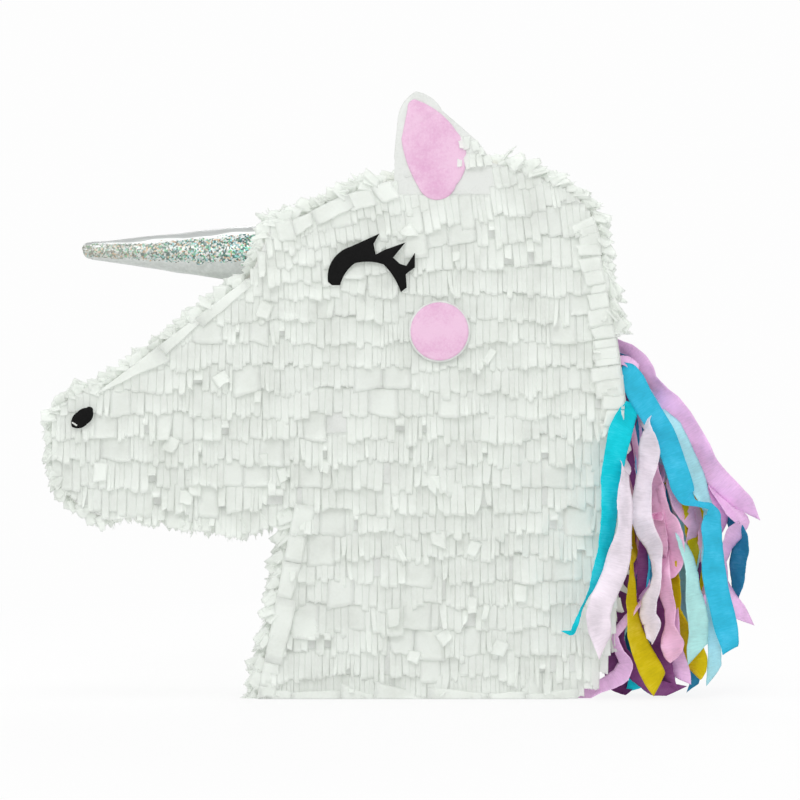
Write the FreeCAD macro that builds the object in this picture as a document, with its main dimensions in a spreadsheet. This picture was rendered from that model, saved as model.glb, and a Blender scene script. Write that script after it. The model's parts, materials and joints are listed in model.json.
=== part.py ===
import FreeCAD, Part
import math
import os

import Sketcher
from FreeCAD import Placement, Rotation, Vector

# A flat unicorn-head pinata that stands on its neck. X runs from the snout (-) to the mane (+),
# Y from the decorated near side (-) to the far side (+), and Z up from the flat neck base.
# Two card panels are joined by card bands around the edge; tissue fringe covers every face.

# Driving dimensions, in millimetres and degrees.
SIZES = {
    "body_depth": 76,
    "panel_card": 3,
    "band_card": 2.5,
    "tissue_sheet": 0.5,
    "cut_out_card": 0.4,
    "fringe_pitch": 14.5,
    "fringe_gap": 0.1,
    "fringe_root": 0.8,
    "fringe_stand": 5.5,
    "fringe_rows": 23,
    "band_fringe_root": 1.2,
    "band_fringe_stand": 5,
    "glue_tab_width": 14,
    "glue_tab_reach": 10,
    "glue_tab_thickness": 0.6,
    "glue_tab_taper": 2.1,
    "glue_tab_gap": 2,
    "glue_tab_corner_room": 14,
    "door_left": -30,
    "door_right": 70,
    "door_bottom": 58,
    "door_top": 145,
    "door_clearance": 0.3,
    "door_crease_room": 6,
    "horn_root_height": 270.3,
    "horn_root_position": -75,
    "horn_length": 123,
    "horn_base_radius": 20.6,
    "horn_tip_radius": 4.4,
    "horn_tilt": 1.3,
    "horn_card": 1.2,
    "horn_film": 0.3,
    "horn_film_gap": 0.05,
    "horn_seat_width": 46,
    "horn_seat_length": 30,
    "horn_seat_card": 1,
    "horn_tip_straight": 1.32,
    "cord_radius": 1.1,
    "cord_spacing": 12,
    "cord_hole_radius": 1.6,
    "cord_position": -26,
    "cord_channel_width": 20,
    "cord_channel_depth": 40,
    "cord_clearance": 0.2,
    "loop_lift": 2.3,
    "loop_start": 3.2,
    "anchor_drop": 8,
    "loop_length": 50,
    "anchor_length": 20,
    "anchor_width": 40,
    "anchor_card": 3,
    "cheek_position": 16,
    "cheek_height": 222.5,
    "cheek_radius": 17.5,
    "cheek_backing_radius": 18.6,
    "nostril_position": -199.8,
    "nostril_height": 170.2,
    "nostril_long_radius": 8.2,
    "nostril_short_radius": 4.6,
    "nostril_tilt": 40,
    "mane_root_thickness": 2,
    "streamer_thickness": 0.6,
    "cutter_margin": 20,
}

# Corners of the head's outline, clockwise from the front of the neck base: name, x, z and, where
# the edge to the next corner is round, a point which that arc passes through.
OUTLINE = [
    ("base_front", -94, 0, None),
    ("throat_top", -71, 118, None),
    ("jaw_back", -108, 107, None),
    ("jaw_front", -189, 111, (-211, 127)),
    ("muzzle_front", -217.5, 155, (-213, 177)),
    ("nose_top", -189.5, 186, None),
    ("seat_low", -98.7, 255, None),
    ("seat_high", -85.4, 287, None),
    ("brow_low", -68, 291.5, None),
    ("brow_mid", -44, 303.5, None),
    ("brow_high", -11.5, 314, None),
    ("crown_front", 52.7, 323.4, None),
    ("crown_back", 89, 311, (105.5, 296)),
    ("nape_top", 113.2, 266, None),
    ("mane_top", 122, 219, None),
    ("nape_out", 127.2, 181, None),
    ("mane_low", 126.6, 157, None),
    ("heel_top", 121.5, 50, (117, 28)),
    ("base_back", 94, 0, None),
]

# The upright leaf of an ear, which stands on the outline between brow_high and crown_front.
EAR_LEAF = [
    (-11, 328.8, None),
    (-9, 350.6, (-5.5, 361)),
    (1.8, 367.6, (6, 366.5)),
    (17.6, 356, None),
    (39.4, 337, None),
    (47.8, 325, None),
]
EAR_FOOT = [(45, 309, None), (28, 302, None), (14, 299.5, None), (1, 302, None), (-8, 309, None)]

# The upper edge of a face's fringe where it passes just under the foot of an ear leaf; it leaves the
# outline after brow_high and meets it again before crown_front.
EAR_DIP = [
    (-10, 314.2, None),
    (-9, 308, None),
    (1, 301.7, None),
    (14, 299.2, None),
    (28, 301.7, None),
    (46, 308, None),
    (48, 321.8, None),
]

# The pink inner leaf of an ear.
EAR_INNER = [
    (-7, 339, None),
    (-3.2, 357.6, (-1.5, 362)),
    (1.1, 363, (14, 356.5)),
    (26, 344, (31.5, 334)),
    (26, 311, (17, 302.5)),
    (3.3, 310, (-1, 318)),
]

# Closed eye with three lashes, cut from black card in one piece.
EYE = [
    (-51.4, 252.5, None),
    (-49, 250.4, None),
    (-44, 250.4, (-41, 257.5)),
    (-35.1, 263.7, (-27.5, 264.6)),
    (-17.7, 262.9, (-11.5, 255)),
    (-7.4, 246.3, None),
    (-3.8, 249, None),
    (-4.4, 257.1, None),
    (1.1, 261.2, None),
    (1.1, 270, None),
    (-1.7, 265.8, None),
    (-4.1, 262.2, None),
    (-7.9, 263.3, None),
    (-12.1, 267.1, None),
    (-4.5, 276.3, None),
    (-17, 271.9, None),
    (-22.5, 268.9, None),
    (-23.9, 275.5, None),
    (-20.3, 281.6, None),
    (-37.8, 273.7, (-48, 266.5)),
]

# Mane ribbons: for each colour, the ribbons as (y of the far side, width, centre line).
STREAMERS = {
    "mane_lilac": [
        (-14, 13, [(132, 211), (141, 204), (151, 189), (169, 174), (179, 159), (185, 143), (203, 117)]),
        (-16.5, 13, [(199, 117), (190, 104), (190, 88)]),
        (-19, 9, [(195, 86), (202, 46)]),
        (-46, 12, [(128, 19), (120, 14), (109, 8), (98, 7)]),
    ],
    "mane_sky": [
        (-24, 14.5, [(133, 198), (138, 194), (143, 179), (151, 166), (158, 148), (166, 123)]),
        (-26.5, 8, [(160, 119), (185, 115)]),
        (-29, 14, [(182.5, 112), (183, 72), (186, 48), (192, 30)]),
    ],
    "mane_turquoise": [
        (-46, 14, [(133, 174), (124, 158), (119, 138), (117, 112), (114, 90), (105, 62)]),
        (-46, 8, [(101, 53), (93, 40)]),
    ],
    "mane_pale_pink": [
        (-48, 13, [(143, 159), (139, 126), (132, 104), (126, 86), (112, 60), (110, 47), (115, 36)]),
        (-50.5, 8, [(130, 141), (123, 117), (118, 90)]),
    ],
    "mane_aqua": [
        (-33, 13, [(152, 176), (160, 168), (169, 153), (176, 139), (181, 122)]),
        (2, 11, [(172, 120), (181, 84), (183, 13)]),
    ],
    "mane_pink": [
        (-31, 13, [(144.5, 138), (148.5, 114), (152.5, 92)]),
        (-33, 14, [(151, 98), (160, 75)]),
        (-35.5, 12, [(152.5, 73), (155, 55), (157, 28)]),
        (8, 13, [(136, 186), (150, 160), (166, 120), (176, 80)]),
    ],
    "mane_mustard": [
        (-6, 11, [(170.5, 112), (171, 80)]),
        (-8.5, 12, [(132.5, 78), (134, 38), (142, 20), (148, 9)]),
        (-11, 12, [(160, 76), (161, 42), (172, 16)]),
        (14, 12, [(135, 172), (146, 130), (152, 70), (150, 20)]),
    ],
    "mane_mint": [
        (-1, 13, [(163, 92), (169, 68), (173, 29)]),
        (20, 13, [(140, 180), (160, 150), (178, 100), (186, 50)]),
    ],
    "mane_teal": [
        (5, 12, [(142, 70), (142, 8)]),
        (11, 10, [(170, 44), (171, 6)]),
        (17, 9, [(199, 99), (202, 60)]),
    ],
    "mane_purple": [
        (23, 11, [(129, 64), (128, 7)]),
        (26, 13, [(155, 70), (157, 7)]),
        (29, 12, [(138, 176), (139, 130), (140, 76)]),
    ],
}

# Expressions for the levels and widths that most slabs share.
FAR_FACE = "Sheet.body_depth / 2"
NEAR_PANEL_INNER = "-Sheet.body_depth / 2 + Sheet.panel_card"
INSIDE_FAR = "Sheet.body_depth / 2 - Sheet.panel_card"
INSIDE_WIDTH = "Sheet.body_depth - 2 * Sheet.panel_card"
BEYOND_FAR = "Sheet.body_depth / 2 + Sheet.cutter_margin"
BEYOND_WIDTH = "Sheet.body_depth + 2 * Sheet.cutter_margin"

doc = FreeCAD.newDocument("pinata")
sheet = doc.addObject("Spreadsheet::Sheet", "Sheet")
finished = []


def fill_sheet():
    """Writes every driving dimension and outline corner to the sheet, one aliased cell each."""
    rows = dict(SIZES)
    for name, x, z, _ in OUTLINE:
        rows[name + "_x"] = x
        rows[name + "_z"] = z
    for number, (name, value) in enumerate(rows.items(), start=1):
        sheet.set(f"A{number}", name)
        sheet.set(f"B{number}", str(value))
        sheet.setAlias(f"B{number}", name)
    doc.recompute()


def size(name):
    """The value of one driving dimension, read back from the sheet."""
    return float(sheet.get(name))


def outline_corners():
    """The outline's corners at the sheet's sizes."""
    return [(size(name + "_x"), size(name + "_z"), via) for name, _, _, via in OUTLINE]


def corner_number(name):
    return [corner[0] for corner in OUTLINE].index(name)


def half_depth():
    return size("body_depth") / 2


def add_part(shape_object, name):
    """Names an object as a finished sub-part of the pinata."""
    shape_object.Label = name
    finished.append(shape_object)
    return shape_object


# Sketches and slabs


def new_body(name):
    body = doc.addObject("PartDesign::Body", name)
    body.AllowCompound = True
    return body


def plane_sketch(body, role, lift):
    """A sketch on one of the body's origin planes, lifted off it by an expression."""
    sketch = body.newObject("Sketcher::SketchObject", body.Name + "_sketch")
    plane = next(item for item in body.Origin.OriginFeatures if item.Role == role)
    sketch.AttachmentSupport = (plane, [""])
    sketch.MapMode = "FlatFace"
    sketch.setExpression(".AttachmentOffset.Base.z", lift)
    return sketch


def side_sketch(body, far_side):
    """A sketch in the side view (x right, z up) whose plane lies at y = far_side."""
    return plane_sketch(body, "XZ_Plane", f"-({far_side})")


def draw_loop(sketch, corners):
    """Adds a closed loop of straight and round edges."""
    for number, (x, z, via) in enumerate(corners):
        next_x, next_z, _ = corners[(number + 1) % len(corners)]
        start = Vector(x, z, 0)
        end = Vector(next_x, next_z, 0)
        if via is None:
            edge = Part.LineSegment(start, end)
        else:
            edge = Part.Arc(start, Vector(via[0], via[1], 0), end)
        sketch.addGeometry(edge, False)


def pad(body, sketch, thickness):
    """Pads a side-view sketch towards -Y; thickness is an expression."""
    feature = body.newObject("PartDesign::Pad", sketch.Name + "_pad")
    feature.Profile = sketch
    feature.setExpression("Length", thickness)
    return feature


def slab(name, loops, far_side, thickness):
    """A body made of flat pieces, cut to the given loops, from y = far_side towards -Y."""
    body = new_body(name)
    sketch = side_sketch(body, far_side)
    for corners in loops:
        draw_loop(sketch, corners)
    pad(body, sketch, thickness)
    return body


def boolean(kind, name, base, tool):
    """Part::Cut or Part::Common of two objects."""
    result = doc.addObject("Part::" + kind, name)
    result.Base = base
    result.Tool = tool
    return result


# Outline geometry


def unit(x, z):
    length = math.hypot(x, z)
    return x / length, z / length


def outward(start, end):
    """Unit normal that points out of the head, for an edge walked clockwise."""
    along_x, along_z = unit(end[0] - start[0], end[1] - start[1])
    return -along_z, along_x


def mitre(before, corner, after, distance):
    """The corner moved so that both of its edges move outwards by distance."""
    first = outward(before, corner)
    second = outward(corner, after)
    sum_x = first[0] + second[0]
    sum_z = first[1] + second[1]
    scale = 2 * distance / (sum_x * sum_x + sum_z * sum_z)
    return corner[0] + sum_x * scale, corner[1] + sum_z * scale


def offset_outline(distance):
    """The outline's corners and arc points, moved outwards (inwards when negative)."""
    corners = outline_corners()
    moved = []
    for number, (x, z, via) in enumerate(corners):
        previous = corners[number - 1]
        following = corners[(number + 1) % len(corners)]
        before = previous[2] or previous[:2]
        after = via or following[:2]
        new_x, new_z = mitre(before, (x, z), after, distance)
        new_via = None
        if via is not None:
            normal = outward((x, z), following[:2])
            new_via = (via[0] + normal[0] * distance, via[1] + normal[1] * distance)
        moved.append((new_x, new_z, new_via))
    return moved


def stretch(inner, outer, start, end):
    """A loop that follows the outline from one named corner to another, between two offsets."""
    first = corner_number(start)
    last = corner_number(end)
    if last < first:
        last += len(OUTLINE)
    numbers = [number % len(OUTLINE) for number in range(first, last + 1)]
    outer_side = [outer[number] for number in numbers]
    inner_side = [inner[number] for number in numbers]
    loop = outer_side[:-1] + [outer_side[-1][:2] + (None,)]
    for position in range(len(inner_side) - 1, -1, -1):
        arc_point = inner_side[position - 1][2] if position > 0 else None
        loop.append(inner_side[position][:2] + (arc_point,))
    return loop


def outline_path(start, end, spacing, start_trim, end_trim):
    """Points about one spacing apart along the outline, short of two named corners by the trims."""
    corners = outline_corners()
    edges = []
    for number in range(corner_number(start), corner_number(end)):
        here = corners[number]
        there = corners[number + 1]
        begin = Vector(here[0], here[1], 0)
        finish = Vector(there[0], there[1], 0)
        if here[2] is None:
            edges.append(Part.makeLine(begin, finish))
        else:
            middle = Vector(here[2][0], here[2][1], 0)
            edges.append(Part.Arc(begin, middle, finish).toShape())
    wire = Part.Wire(edges)
    fine_step = 0.5
    fine = wire.discretize(Number=round(wire.Length / fine_step) + 1)
    first = round(start_trim / fine_step)
    last = len(fine) - 1 - round(end_trim / fine_step)
    count = max(1, round((last - first) * fine_step / spacing))
    picks = [round(first + (last - first) * step / count) for step in range(count + 1)]
    return [(fine[pick].x, fine[pick].y) for pick in picks]


# Card shell


def panel_loop():
    """The head's outline with one ear standing on it."""
    corners = outline_corners()
    ear_start = corner_number("brow_high") + 1
    return corners[:ear_start] + EAR_LEAF + corners[ear_start:]


def bind_corners(sketch, loop):
    """Ties each straight-edged outline corner of a panel sketch to its cells in the sheet."""
    places = {(size(name + "_x"), size(name + "_z")): name for name, _, _, _ in OUTLINE}
    for number, (x, z, via) in enumerate(loop):
        name = places.get((x, z))
        straight_before = loop[number - 1][2] is None
        if name is None or via is not None or not straight_before or z == 0:
            continue
        sketch.addConstraint(Sketcher.Constraint("Coincident", (number - 1) % len(loop), 2, number, 1))
        across = sketch.addConstraint(Sketcher.Constraint("DistanceX", -1, 1, number, 1, x))
        sketch.setExpression(f"Constraints[{across}]", f"Sheet.{name}_x")
        up = sketch.addConstraint(Sketcher.Constraint("DistanceY", -1, 1, number, 1, z))
        sketch.setExpression(f"Constraints[{up}]", f"Sheet.{name}_z")


def panel(name, far_side):
    """One side of the head, with its ear, as a single card sheet."""
    body = new_body(name)
    sketch = side_sketch(body, far_side)
    loop = panel_loop()
    draw_loop(sketch, loop)
    bind_corners(sketch, loop)
    pad(body, sketch, "Sheet.panel_card")
    return body


def door_loop(clearance):
    """The filling door's rectangle, smaller all round by a clearance."""
    left = size("door_left") + clearance
    right = size("door_right") - clearance
    bottom = size("door_bottom") + clearance
    top = size("door_top") - clearance
    return [(left, bottom, None), (right, bottom, None), (right, top, None), (left, top, None)]


def make_panels():
    """Near and far panels; the far one has the filling door's opening."""
    add_part(panel("front_card", NEAR_PANEL_INNER), "front_panel")
    body = panel("back_card", FAR_FACE)
    opening_sketch = side_sketch(body, FAR_FACE)
    draw_loop(opening_sketch, door_loop(0))
    doc.recompute()
    whole = body.Shape.Volume
    opening = body.newObject("PartDesign::Pocket", "door_pocket")
    opening.Profile = opening_sketch
    opening.Reversed = True
    opening.setExpression("Length", "Sheet.panel_card")
    doc.recompute()
    if body.Shape.Volume > whole - 1:
        raise RuntimeError("the door opening cut nothing")
    add_part(body, "back_panel")


def make_door():
    """The filling door: a creased flap of the far panel, and the fringe that it carries."""
    clearance = size("door_clearance")
    flap = slab("door_card", [door_loop(clearance)], FAR_FACE, "Sheet.panel_card")
    add_part(flap, "fill_door")


BANDS = [
    ("throat_band", "base_front", "throat_top"),
    ("jaw_band", "throat_top", "jaw_front"),
    ("muzzle_band", "jaw_front", "nose_top"),
    ("nose_band", "nose_top", "seat_low"),
    ("horn_seat_band", "seat_low", "seat_high"),
    ("brow_band", "seat_high", "crown_front"),
    ("crown_band", "crown_front", "mane_top"),
    ("nape_band", "mane_top", "base_back"),
]


def make_bands():
    """Card bands that join the two panels all the way round, mitred at their ends."""
    outer = offset_outline(0)
    inner = offset_outline(-size("band_card"))
    for name, start, end in BANDS:
        loop = stretch(inner, outer, start, end)
        body = slab(name + "_strip", [loop], INSIDE_FAR, INSIDE_WIDTH)
        if name == "brow_band":
            body = cord_holes("brow", body)
        add_part(body, name)
    raised = offset_outline(-size("tissue_sheet"))
    base = stretch(inner, raised, "base_back", "base_front")
    add_part(slab("base_strip", [base], INSIDE_FAR, INSIDE_WIDTH), "base_band")
    cover = stretch(raised, outer, "base_back", "base_front")
    add_part(slab("base_tissue", [cover], INSIDE_FAR, INSIDE_WIDTH), "base_cover")


def glue_tabs():
    """Loops of the trapezoid tabs that fold from the bands onto the panels' inner faces."""
    inner = offset_outline(-size("band_card"))
    reach = size("glue_tab_reach")
    tab_width = size("glue_tab_width")
    pitch = tab_width + size("glue_tab_gap")
    taper = size("glue_tab_taper")
    loops = []
    for number, (x, z, via) in enumerate(inner):
        next_x, next_z, _ = inner[(number + 1) % len(inner)]
        length = math.hypot(next_x - x, next_z - z)
        room = length - 2 * size("glue_tab_corner_room")
        if via is not None or room < tab_width:
            continue
        count = int((room + size("glue_tab_gap")) // pitch)
        along_x, along_z = unit(next_x - x, next_z - z)
        into = (along_z, -along_x)
        first = (length - count * pitch + size("glue_tab_gap")) / 2
        for tab in range(count):
            begin = first + tab * pitch
            foot = [begin, begin + tab_width]
            head = [begin + tab_width - taper, begin + taper]
            loop = [(x + along_x * step, z + along_z * step, None) for step in foot]
            loop += [
                (x + along_x * step + into[0] * reach, z + along_z * step + into[1] * reach, None)
                for step in head
            ]
            loops.append(loop)
    return loops


def make_glue_tabs():
    loops = glue_tabs()
    thickness = "Sheet.glue_tab_thickness"
    front = slab("front_tabs", loops, f"{NEAR_PANEL_INNER} + {thickness}", thickness)
    add_part(front, "front_glue_tabs")
    back = slab("back_tabs", loops, INSIDE_FAR, thickness)
    add_part(back, "back_glue_tabs")


# Tissue fringe


def fringe_rows(name, side):
    """Horizontal rows of fringe, each thin where it is glued and standing proud at its lower edge.

    side is -1 for the near panel and 1 for the far one."""
    pitch = size("fringe_pitch")
    face = side * half_depth()
    body = new_body(name)
    sketch = plane_sketch(body, "YZ_Plane", "Sheet.muzzle_front_x - Sheet.cutter_margin")
    profile = [
        (face, 0, None),
        (face + side * size("fringe_stand"), 0, None),
        (face + side * size("fringe_root"), pitch - size("fringe_gap"), None),
        (face, pitch - size("fringe_gap"), None),
    ]
    draw_loop(sketch, profile)
    row = pad(body, sketch, "Sheet.nape_out_x - Sheet.muzzle_front_x + 2 * Sheet.cutter_margin")
    pattern = body.newObject("PartDesign::LinearPattern", name + "_pattern")
    pattern.Originals = [row]
    pattern.Direction = (sketch, ["V_Axis"])
    body.Tip = pattern
    pattern.setExpression("Length", "Sheet.fringe_pitch * (Sheet.fringe_rows - 1)")
    pattern.setExpression("Occurrences", "Sheet.fringe_rows")
    return body


def fringe_region():
    """The outline without its ear, dipped where the ear leaf lies on the panel."""
    corners = outline_corners()
    ear_start = corner_number("brow_high") + 1
    return corners[:ear_start] + EAR_DIP + corners[ear_start:]


def make_face_fringe():
    """Fringe on both panels, and on the filling door."""
    near_block = slab("near_block", [fringe_region()], BEYOND_FAR, BEYOND_WIDTH)
    front = boolean("Common", "front_rows_cut", fringe_rows("front_rows", -1), near_block)
    add_part(front, "front_fringe")

    far_block = slab("far_block", [fringe_region()], BEYOND_FAR, BEYOND_WIDTH)
    back_rows = boolean("Common", "back_rows_cut", fringe_rows("back_rows", 1), far_block)
    window = door_loop(0)
    room = size("door_crease_room")
    window = window[:2] + [(x, z + room, None) for x, z, _ in window[2:]]
    window_block = slab("window_block", [window], BEYOND_FAR, BEYOND_WIDTH)
    add_part(boolean("Cut", "back_rows_window", back_rows, window_block), "back_fringe")

    door_block = slab("door_block", [door_loop(size("door_clearance"))], BEYOND_FAR, BEYOND_WIDTH)
    door_rows = boolean("Common", "door_rows_cut", fringe_rows("door_rows", 1), door_block)
    add_part(door_rows, "door_fringe")


def band_fringe(name, start, end, uphill_first, start_trim=0, end_trim=0):
    """Teeth of fringe along a band; each tooth is thin at its uphill end and proud at the other."""
    root = size("band_fringe_root")
    stand = size("band_fringe_stand")
    path = outline_path(start, end, size("fringe_pitch"), start_trim, end_trim)
    normals = []
    for number in range(len(path)):
        before = path[max(number - 1, 0)]
        after = path[min(number + 1, len(path) - 1)]
        normals.append(outward(before, after))
    gap = size("fringe_gap")
    loops = []
    for number in range(len(path) - 1):
        begin, finish = path[number], path[number + 1]
        along = unit(finish[0] - begin[0], finish[1] - begin[1])
        begin = (begin[0] + along[0] * gap, begin[1] + along[1] * gap)
        heights = (root, stand) if uphill_first else (stand, root)
        outer_begin = [begin[axis] + normals[number][axis] * heights[0] for axis in (0, 1)]
        outer_finish = [finish[axis] + normals[number + 1][axis] * heights[1] for axis in (0, 1)]
        loops.append([begin + (None,), (*outer_begin, None), (*outer_finish, None), finish + (None,)])
    teeth = slab(name + "_teeth", loops, INSIDE_FAR, INSIDE_WIDTH)
    head = slab(name + "_head", [outline_corners()], FAR_FACE, "Sheet.body_depth")
    return boolean("Cut", name, teeth, head)


def make_band_fringe():
    """Fringe around the edge of the head."""
    throat = band_fringe("throat_rows", "base_front", "throat_top", False, start_trim=1, end_trim=6)
    add_part(throat, "throat_fringe")
    add_part(band_fringe("jaw_rows", "throat_top", "jaw_front", True, start_trim=9), "jaw_fringe")
    muzzle = band_fringe("muzzle_rows", "jaw_front", "nose_top", False, start_trim=1, end_trim=2)
    add_part(muzzle, "muzzle_fringe")
    nose = band_fringe("nose_rows", "nose_top", "seat_low", False, start_trim=3, end_trim=13)
    add_part(nose, "nose_fringe")
    brow = band_fringe("brow_rows", "seat_high", "crown_front", False, start_trim=5)
    channel = cord_channel()
    add_part(boolean("Cut", "brow_rows_channel", brow, channel), "brow_fringe")
    add_part(band_fringe("crown_rows", "crown_front", "mane_top", True, start_trim=1), "crown_fringe")
    outer = offset_outline(size("tissue_sheet"))
    cover = stretch(offset_outline(0), outer, "mane_low", "heel_top")
    add_part(slab("nape_tissue", [cover], INSIDE_FAR, INSIDE_WIDTH), "nape_cover")


# Ears and face


def mirrored(body, name):
    """A copy of a near-side piece on the far side."""
    copy = doc.addObject("Part::Mirroring", name + "_mirror")
    copy.Source = body
    copy.Normal = Vector(0, 1, 0)
    return add_part(copy, name)


def pair(name, loops, lift, thickness):
    """The same flat piece on both faces: lift is its height above the panel, as an expression."""
    far_side = f"-(Sheet.body_depth / 2 + {lift})"
    front = add_part(slab("front_" + name + "_sheet", loops, far_side, thickness), "front_" + name)
    mirrored(front, "back_" + name)


def circle_loop(x, z, radius):
    """A circle as two arcs."""
    return [(x - radius, z, (x, z + radius)), (x + radius, z, (x, z - radius))]


def oval_loop(x, z, long_radius, short_radius, tilt):
    """An oval as four arcs, its long axis turned up to the right by tilt degrees."""
    turn = math.radians(tilt)

    def place(angle):
        across = long_radius * math.cos(angle)
        up = short_radius * math.sin(angle)
        return (x + across * math.cos(turn) - up * math.sin(turn),
                z + across * math.sin(turn) + up * math.cos(turn))

    loop = []
    for quarter in range(4):
        start = quarter * math.pi / 2
        loop.append(place(start) + (place(start + math.pi / 4),))
    return loop


def make_ears():
    """White tissue leaf and pink inner leaf on each ear."""
    pair("ear_cover", [EAR_LEAF + EAR_FOOT], "0", "Sheet.tissue_sheet")
    pair("ear_inner", [EAR_INNER], "Sheet.tissue_sheet", "Sheet.cut_out_card")


def make_face():
    """Eye, cheek disc with its backing, and nostril, glued on top of the fringe on each side."""
    pair("eye", [EYE], "Sheet.fringe_stand", "Sheet.cut_out_card")
    cheek = (size("cheek_position"), size("cheek_height"))
    pair("cheek_backing", [circle_loop(*cheek, size("cheek_backing_radius"))], "Sheet.fringe_stand",
         "Sheet.cut_out_card")
    pair("cheek", [circle_loop(*cheek, size("cheek_radius"))], "Sheet.fringe_stand + Sheet.cut_out_card",
         "Sheet.cut_out_card")
    nostril = oval_loop(size("nostril_position"), size("nostril_height"), size("nostril_long_radius"),
                        size("nostril_short_radius"), size("nostril_tilt"))
    pair("nostril", [nostril], "Sheet.fringe_stand", "Sheet.cut_out_card")


# Horn


def horn_place(distance):
    """Placement on the horn's axis, which points to -X, at a distance from its hidden root."""
    turn = Rotation(Vector(0, 1, 0), -90 + size("horn_tilt"))
    root = Vector(size("horn_root_position"), 0, size("horn_root_height"))
    return Placement(root + turn.multVec(Vector(0, 0, distance)), turn)


def horn_cone(name, base_radius, tip_radius):
    """A cone on the horn's axis, from inside the brow to the horn's tip."""
    cone = doc.addObject("Part::Cone", name)
    cone.setExpression("Radius1", base_radius)
    cone.setExpression("Radius2", tip_radius)
    cone.setExpression("Height", "Sheet.horn_length")
    cone.Placement = horn_place(0)
    return cone


def seat_plate():
    """Card plate glued to the steep brow edge; the horn is glued to it."""
    outer = offset_outline(size("horn_seat_card"))
    plate_loop = stretch(offset_outline(0), outer, "seat_low", "seat_high")
    return slab("horn_plate", [plate_loop], "Sheet.horn_seat_width / 2", "Sheet.horn_seat_width")


def make_horn():
    """Rolled card cone, foil wrap, folded tip and the seat plate."""
    add_part(seat_plate(), "horn_seat_plate")
    card_outer = horn_cone("horn_card_outer", "Sheet.horn_base_radius", "Sheet.horn_tip_radius")
    card_inner = horn_cone("horn_card_inner", "Sheet.horn_base_radius - Sheet.horn_card",
                           "Sheet.horn_tip_radius - Sheet.horn_card")
    card = boolean("Cut", "horn_card_shell", card_outer, card_inner)
    add_part(trim_to_seat("horn_card", card), "horn_cone")

    gap = "Sheet.horn_film_gap"
    film_outer = horn_cone("horn_film_outer", f"Sheet.horn_base_radius + {gap} + Sheet.horn_film",
                           f"Sheet.horn_tip_radius + {gap} + Sheet.horn_film")
    film_inner = horn_cone("horn_film_inner", f"Sheet.horn_base_radius + {gap}",
                           f"Sheet.horn_tip_radius + {gap}")
    film = boolean("Cut", "horn_film_shell", film_outer, film_inner)
    add_part(trim_to_seat("horn_film", film), "horn_film")
    add_part(horn_tip(), "horn_tip")


def trim_to_seat(name, cone):
    """Cuts away the part of a cone that lies in the head or behind the plane of its seat plate."""
    head_loop = offset_outline(size("horn_seat_card"))
    head = slab(name + "_head", [head_loop], FAR_FACE, "Sheet.body_depth")
    low = head_loop[corner_number("seat_low")]
    high = head_loop[corner_number("seat_high")]
    top = (high[0] + 2 * (high[0] - low[0]), high[1] + 2 * (high[1] - low[1]), None)
    behind = [low[:2] + (None,), top, (size("crown_front_x"), top[1], None),
              (size("crown_front_x"), low[1], None)]
    back = slab(name + "_back", [behind], FAR_FACE, "Sheet.body_depth")
    return boolean("Cut", name + "_trimmed", boolean("Cut", name + "_cut", cone, head), back)


def horn_tip():
    """The pinched end of the foil, folded over the open end of the cone."""
    radius = size("horn_tip_radius")
    body = new_body("tip_fold")
    sketch = side_sketch(body, "0")
    straight = size("horn_tip_straight")
    slant = radius * math.sqrt(0.5)
    profile = [
        (0, 0, None),
        (radius, 0, None),
        (radius, straight, (slant, straight + slant)),
        (0, straight + radius, None),
    ]
    draw_loop(sketch, profile)
    turned = body.newObject("PartDesign::Revolution", "tip_turn")
    turned.Profile = sketch
    turned.ReferenceAxis = (sketch, ["V_Axis"])
    turned.Angle = 360
    body.Placement = horn_place(size("horn_length") + size("horn_film_gap"))
    return body


# Hanging cord


def brow_slope():
    """Direction down the brow, from brow_high towards brow_mid, as a unit vector."""
    x, z = unit(size("brow_mid_x") - size("brow_high_x"), size("brow_mid_z") - size("brow_high_z"))
    return Vector(x, 0, z)


def brow_point(lift):
    """The point above the cord's place on the brow band's outer face, at a vertical lift."""
    slope = brow_slope()
    from_mid = size("cord_position") - size("brow_mid_x")
    level = size("brow_mid_z") + from_mid * slope.z / slope.x
    return Vector(size("cord_position"), 0, level + lift)


def cord_channel():
    """Room in the brow fringe, where the folded loop lies."""
    width = size("cord_channel_width")
    depth = size("cord_channel_depth")
    length = size("loop_length") + 2 * size("cord_hole_radius") + width / 2
    channel = doc.addObject("Part::Box", "channel")
    channel.Length = length
    channel.Width = width
    channel.Height = depth
    end = brow_point(-depth / 2) + Vector(width / 4, -width / 2, 0)
    channel.Placement = Placement(end - Vector(length, 0, 0), Rotation())
    return channel


def cord_holes(name, card):
    """The card with the cord's two holes drilled through it."""
    for side in (-1, 1):
        drill = doc.addObject("Part::Cylinder", name + "_drill")
        drill.setExpression("Radius", "Sheet.cord_hole_radius")
        drill.setExpression("Height", "Sheet.cord_channel_depth")
        offset = Vector(0, side * size("cord_spacing") / 2, 0)
        drill.Placement = Placement(brow_point(-size("cord_channel_depth") / 2) + offset, Rotation())
        card = boolean("Cut", name + "_drilled", card, drill)
    return card


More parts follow.
